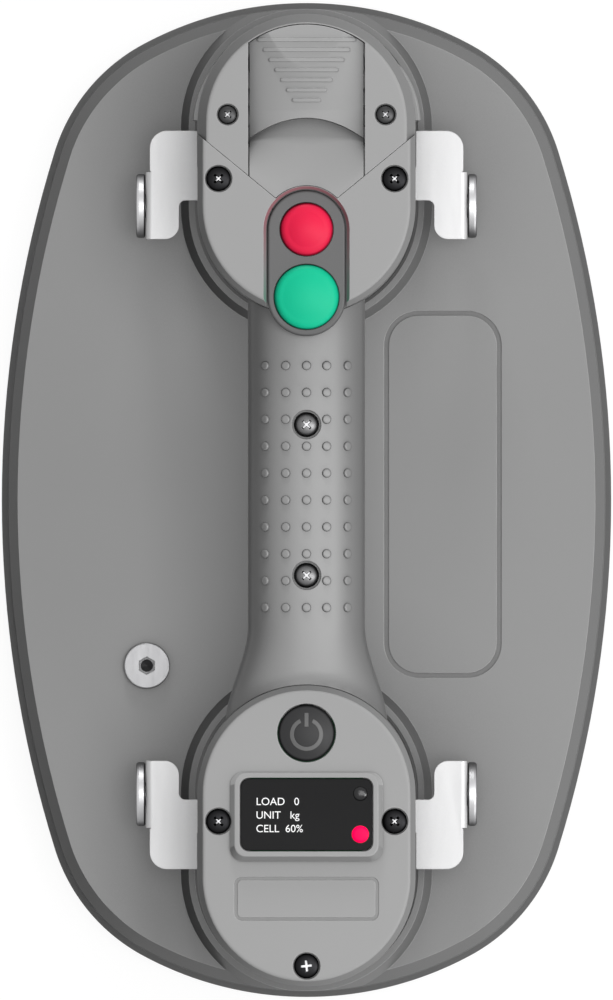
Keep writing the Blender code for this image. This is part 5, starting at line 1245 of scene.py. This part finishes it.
# The handle is two moulded half shells that meet in a parting line at its widest, screwed together from
# above. It is straight and oval over the fist and flares into the rear pod, where a fillet meets the wall.
GRIP_HALF_WIDTH = 0.01865
GRIP_HALF_HEIGHT = 0.0158
GRIP_WALL = 0.0026
FLARE_START = 0.0400
FLARE_LENGTH = 0.032
FLARE_GAIN = 0.0072
OVAL_POWER = 0.86
PARTING = 0.00012
FILLET = (0.0021, 0.0046)
GRIP_SCREW_Y = 0.0240
STATION_STEP = 0.0015
WIRE_HALF = 0.004
grip_skin = finish_of("grey_grip_moulding", (0.375, 0.375, 0.375), 0.36, mottle=0.035, scale=2800.0, edge=0.8,
                      specular=0.30, slant=0.36)
upper_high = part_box("grip_top")[1]


def grip_half(y):
    """Half width of the grip: straight, then a smooth flare into the rear pod."""
    t = max(0.0, min(1.0, (-y - FLARE_START) / FLARE_LENGTH))
    return GRIP_HALF_WIDTH + FLARE_GAIN * t * t * (3 - 2 * t)


def from_pod(x, y):
    """Distance from a place to the rear pod's wall."""
    return math.hypot(x, y - (POD_STRAIGHT - POD_CENTRE)) - POD_RADIUS


def upper_z(x, y):
    """Height of the grip's upper face at a place."""
    cosine = min(1.0, (abs(x) / grip_half(y)) ** (1 / OVAL_POWER))
    crown = GRIP_MIDDLE + GRIP_HALF_HEIGHT * math.sqrt(1 - cosine ** 2) ** OVAL_POWER
    near = max(0.0, 1 - max(0.0, from_pod(x, y)) / FILLET[1])
    return crown + FILLET[0] * near * near * min(1.0, (crown - GRIP_MIDDLE) / 0.008)


def grip_ring(y, sign, inset):
    """Half of the grip's section at a station: the upper shell's for sign 1, the lower shell's for -1."""
    half = grip_half(y) - inset
    drop = (grip_half(y) - GRIP_HALF_WIDTH) * 0.9 if sign < 0 else 0.0
    ring = []
    for i in range(57):
        angle = math.pi * i / 56
        x = half * math.copysign(abs(math.cos(angle)) ** OVAL_POWER, math.cos(angle))
        z = GRIP_MIDDLE + sign * (GRIP_HALF_HEIGHT + drop - inset) * abs(math.sin(angle)) ** OVAL_POWER
        if sign > 0 and inset == 0.0:
            z = upper_z(x, y)
        ring.append((x, y, max(z, GRIP_MIDDLE + PARTING) if sign > 0 else min(z, GRIP_MIDDLE - PARTING)))
    return ring


def fit_upper(shell, spot):
    """The boss, counterbore and clearance hole of a grip screw."""
    carve(shell, drum(spot, SCREW_HEAD + 0.0018, GRIP_MIDDLE + 0.004, upper_high.z - 0.001, 40), "UNION")
    carve(shell, drum(spot, SCREW_HEAD + 0.0007, upper_high.z - 0.0030, upper_high.z + 0.004, 56))
    carve(shell, drum(spot, SHANK_HOLE, GRIP_MIDDLE - 0.004, upper_high.z, 20))


def fit_lower(shell, spot, side):
    """The post that a grip screw bites in, and the hollow tongue that enters a pod's wall."""
    post = drum(spot, POST_RADIUS, GRIP_MIDDLE - GRIP_HALF_HEIGHT + 0.001, GRIP_MIDDLE + 0.0037, 32)
    carve(shell, post, "UNION")
    carve(shell, drum(spot, SHANK_HOLE, GRIP_MIDDLE - 0.008, GRIP_MIDDLE + 0.008, 20))
    near, far = sorted((side * (wall_near - 0.010), side * (wall_near + POD_WALL + 0.006)))
    half = TONGUE_WIDTH / 2
    carve(shell, brick((-half, near, tongue_low), (half, far, GRIP_MIDDLE - 0.002)), "UNION")
    carve(shell, brick((-WIRE_HALF, near - 0.004, GRIP_MIDDLE - 0.0075),
                       (WIRE_HALF, far + 0.004, GRIP_MIDDLE + 0.001)))


grip_end = POD_CENTRE - POD_STRAIGHT - 0.018
stations = [grip_end - STATION_STEP * i for i in range(int(2 * grip_end / STATION_STEP) + 1)] + [-grip_end]
for node, sign in (("grip_top", 1), ("grip_bottom", -1)):
    rings = [grip_ring(y, sign, 0.0) + list(reversed(grip_ring(y, sign, GRIP_WALL))) for y in stations]
    half_shell = skin(node.replace("grip", "grip_shell"), rings, grip_skin, edge_angle=40)
    for side in (1, -1):
        carve(half_shell, slab(oval(POD_RADIUS + 0.0002, side * POD_CENTRE, 64), PLATE_TOP, POD_TOP + 0.02))
        spot = (0.0, side * GRIP_SCREW_Y)
        if sign > 0:
            fit_upper(half_shell, spot)
        else:
            fit_lower(half_shell, spot, side)
    settle(half_shell, "lifter", node)


# Forty-eight low domed studs in five columns are moulded on the upper shell, so that a wet glove holds.
# Two places in the middle column are taken by the grip's screws.
STUD_COLUMNS = (-0.0131, -0.0066, 0.0, 0.0064, 0.0130)
STUD_FIRST_Y, STUD_PITCH, STUD_ROWS = 0.0428, 0.00856, 10
SCREW_ROWS = (2, 8)
STUD_RADIUS = 0.0015
STUD_RISE = 0.00075
STUD_SIDES = 20
STUD_PROFILE = ((1.0, -0.6), (1.0, 0.0), (0.96, 0.5), (0.86, 0.85), (0.7, 0.98), (0.4, 1.0))
turns = [2 * math.pi * i / STUD_SIDES for i in range(STUD_SIDES)]
bm = bmesh.new()
for column, x in enumerate(STUD_COLUMNS):
    for line in range(STUD_ROWS):
        if column == 2 and line in SCREW_ROWS:
            continue
        y = STUD_FIRST_Y - line * STUD_PITCH
        slope = (upper_z(x + 0.0004, y) - upper_z(x - 0.0004, y)) / 0.0008
        up = Vector((-slope, 0.0, 1.0)).normalized()
        across = Vector((1.0, 0.0, slope)).normalized()
        along = Vector((0.0, 1.0, 0.0))
        foot = Vector((x, y, upper_z(x, y)))
        rows = []
        for r, h in STUD_PROFILE:
            rows.append([bm.verts.new(foot + up * (h * STUD_RISE) + across * (r * STUD_RADIUS * math.cos(t))
                                      + along * (r * STUD_RADIUS * math.sin(t))) for t in turns])
        for low, high in zip(rows, rows[1:]):
            for i in range(STUD_SIDES):
                after = (i + 1) % STUD_SIDES
                bm.faces.new((low[i], low[after], high[after], high[i]))
        bm.faces.new(rows[0])
        bm.faces.new(rows[-1])
settle(show("grip_studs", bm, [grip_skin], 60), "lifter")
grip_screw_steel = metal_of("grip_screw_steel", (0.16, 0.16, 0.162), 0.36, scale=1400.0,
                            rim=(0.010, 0.010, 0.011))
for end in ("front", "rear"):
    dome_screw("grip_fixing_" + end, "grip_screw_" + end, grip_screw_steel, 0.0022)
    recess_glint("grip_recess_" + end, "grip_screw_" + end, 0.0015, 0.0007, 0.0004)


# Four lugs of bent stainless sheet carry the bolts for a strap or a second handle. Each has a tab that
# enters the pod and is held by the clamp screw, and an outer flange bent down with a welded nut.
LUG_OUTER = 0.0514
LUG_NEAR, LUG_FAR, LUG_FLANGE_FAR = 0.0835, 0.1182, 0.1050
LUG_LEG = 0.0408
LUG_INNER = 0.0235
LUG_TOP, flange_low = lug_high.z, lug_low.z
BEND = 0.0016
NUT_RADIUS, NUT_DEPTH = 0.0064, 0.0052
BORE_RADIUS = 0.0041
BOLT_HEAD = 0.0032
HEX_REACH = 0.0036
lug_steel = metal_of("brushed_stainless_sheet", (0.63, 0.63, 0.635), 0.40, spread=0.06, scale=700.0,
                     bump=0.004, mottle=0.015, metallic=0.35)
bolt_steel = metal_of("polished_bolt_steel", (0.60, 0.60, 0.61), 0.42, spread=0.04, scale=300.0, bump=0.0,
                      mottle=0.02, rim=(0.05, 0.05, 0.052))
bolt_low, bolt_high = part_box("lug_bolt_front_right")
bolt_spot = ((bolt_low.y + bolt_high.y) / 2, (bolt_low.z + bolt_high.z) / 2)
bolt_radius = (bolt_high.y - bolt_low.y) / 2 + 0.00025
outer = LUG_OUTER - BEND
wall = POD_RADIUS + GAP


def about_x(name, sx, sy, outline, sides, *looks):
    """A turned piece whose axis runs along X, from (radius, distance out from the lug's face) pairs."""
    turns = [2 * math.pi * i / sides for i in range(sides)]
    rings = [[(sx * (LUG_OUTER + out), sy * bolt_spot[0] + r * math.cos(t), bolt_spot[1] + r * math.sin(t))
              for t in turns] for r, out in outline]
    return skin(name, rings, *looks, edge_angle=32)


plan = [(wall, LUG_FAR), (wall, TAB_FAR_Y), (CLAMP_X, TAB_FAR_Y), (LUG_INNER, CLAMP_Y),
        (LUG_INNER, LUG_MID_Y)]
plan += arc(LUG_LEG - 0.002, LUG_MID_Y - 0.002, 0.002, 90, 0, 8)
plan += arc(LUG_LEG + 0.0045, LUG_NEAR + 0.0045, 0.0045, 180, 270, 12)
plan += [(outer, LUG_NEAR), (outer, LUG_FLANGE_FAR), (LUG_OUTER - 0.0012, LUG_FLANGE_FAR + 0.0004)]
plan += arc(LUG_OUTER - 0.0012 - 0.0055, LUG_FAR - 0.0055, 0.0055, 0, 90, 12)
inner_bend = BEND - LUG_SHEET
profile = [(outer - 0.0004, LUG_TOP), (outer, LUG_TOP)]
profile += [(outer + BEND * math.sin(t), LUG_TOP - BEND * (1 - math.cos(t)))
            for t in [math.radians(15 * i) for i in range(1, 7)]]
profile += [(LUG_OUTER, flange_low + 0.0005), (LUG_OUTER - 0.0005, flange_low),
            (LUG_OUTER - LUG_SHEET, flange_low)]
profile += [(LUG_OUTER - BEND + inner_bend * math.sin(t), LUG_TOP - BEND + inner_bend * math.cos(t))
            for t in reversed(QUARTER)]
profile += [(outer - 0.0004, LUG_TOP - LUG_SHEET)]
# The bolt has a large flat round head with rounded rims and a hexagon socket in its face.
bolt_profile = [(0.0034, -0.0072), (0.0038, -0.0068), (0.0038, 0.0003), (bolt_radius - 0.0005, 0.0003),
                (bolt_radius, 0.0007), (bolt_radius, BOLT_HEAD * 0.5), (bolt_radius, BOLT_HEAD - 0.0009),
                (bolt_radius - 0.0002, BOLT_HEAD - 0.0003), (bolt_radius - 0.0008, BOLT_HEAD),
                (bolt_radius - 0.0022, BOLT_HEAD), (bolt_radius - 0.0026, BOLT_HEAD - 0.0003),
                (0.0046, BOLT_HEAD - 0.0003), (0.0042, BOLT_HEAD)]
for sx, side in ((-1, "left"), (1, "right")):
    for sy, end in ((-1, "rear"), (1, "front")):
        label = f"{end}_{side}"
        lug = slab([(sx * x, sy * y) for x, y in plan], LUG_TOP - LUG_SHEET, LUG_TOP, lug_steel,
                   "lug_sheet_" + label)
        ends = [[(sx * x, sy * y, z) for x, z in profile] for y in (LUG_NEAR, LUG_FLANGE_FAR)]
        carve(lug, skin("flange", ends), "UNION")
        nut = about_x("nut", sx, sy, [(NUT_RADIUS, -NUT_DEPTH), (NUT_RADIUS, -LUG_SHEET + 0.0002)], 6)
        carve(lug, nut, "UNION")
        carve(lug, about_x("bore", sx, sy, [(BORE_RADIUS, -0.012), (BORE_RADIUS, 0.01)], 32))
        carve(lug, drum((sx * CLAMP_X, sy * CLAMP_Y), SHANK_HOLE, LUG_TOP - 0.01, LUG_TOP + 0.01, 20))
        break_edges(lug, 0.00022, 50)
        settle(lug, "lifter", "lug_" + label)
        bolt = about_x("lug_bolt_turned_" + label, sx, sy, bolt_profile, 96, bolt_steel)
        hexagon = [(HEX_REACH, BOLT_HEAD - 0.0026), (HEX_REACH, BOLT_HEAD + 0.001)]
        carve(bolt, about_x("hex", sx, sy, hexagon, 6))
        even_out(bolt)
        settle(bolt, "lifter", "lug_bolt_" + label)


# The battery's five cells stand upright in the pack's case. They are 18 mm cells in shrink sleeve, each
# with a steel cap at its upper end.
CELL_RADIUS = 0.009
sleeve = finish_of("grey_shrink_sleeve", (0.045, 0.046, 0.050), 0.30, mottle=0.06, scale=900.0, bump=0.01,
                   edge=0.15)
for number in range(1, 6):
    low, high, spot, _ = stands(f"battery_cell_{number}")
    wrap = lathe(f"cell_sleeve_{number}", spot, [
        (CELL_RADIUS - 0.0006, low.z), (CELL_RADIUS, low.z + 0.0005), (CELL_RADIUS, high.z - 0.0020),
        (CELL_RADIUS - 0.0004, high.z - 0.0016), (CELL_RADIUS - 0.0012, high.z - 0.0014)], sleeve, 48)
    settle(wrap, "battery_pack", f"battery_cell_{number}")
    steel_cap = lathe(f"cell_cap_{number}", spot, [
        (CELL_RADIUS - 0.0014, high.z - 0.0018), (CELL_RADIUS - 0.0014, high.z - 0.0013),
        (0.0036, high.z - 0.0012), (0.0034, high.z - 0.0002), (0.0031, high.z)], bright_steel, 40)
    settle(steel_cap, "battery_pack")


# What is inside the pods keeps its CAD shape: the vacuum pump with its crank and head, the release valve,
# the hose, the boards with their switches, the terminal block and the loom through the handle.
board_skin = finish_of("green_circuit_board", (0.015, 0.13, 0.05), 0.38, mottle=0.2, scale=500.0, bump=0.03,
                       edge=0.2)
hose_rubber = finish_of("black_hose_rubber", (0.022, 0.022, 0.023), 0.55, mottle=0.1, scale=1500.0, bump=0.03,
                        edge=0.1)
loom_skin = finish_of("loom_sleeving", (0.030, 0.030, 0.034), 0.65, mottle=0.3, scale=1600.0, bump=0.25,
                      edge=0.2)
dark_nylon = finish_of("dark_nylon", (0.06, 0.06, 0.062), 0.5, mottle=0.08, scale=2000.0, bump=0.03, edge=0.3)
motor_can = metal_of("zinc_plated_can", (0.55, 0.55, 0.53), 0.30, spread=0.15, scale=300.0)
for look, nodes in ((motor_can, ("pump_motor", "pump_crank", "release_valve")),
                    (dark_nylon, ("pump_head", "terminal_block")), (hose_rubber, ("vacuum_hose",)),
                    (loom_skin, ("wire_loom",)),
                    (board_skin, ("main_board", "button_board", "display_module"))):
    for node in nodes:
        refinish(node, look)
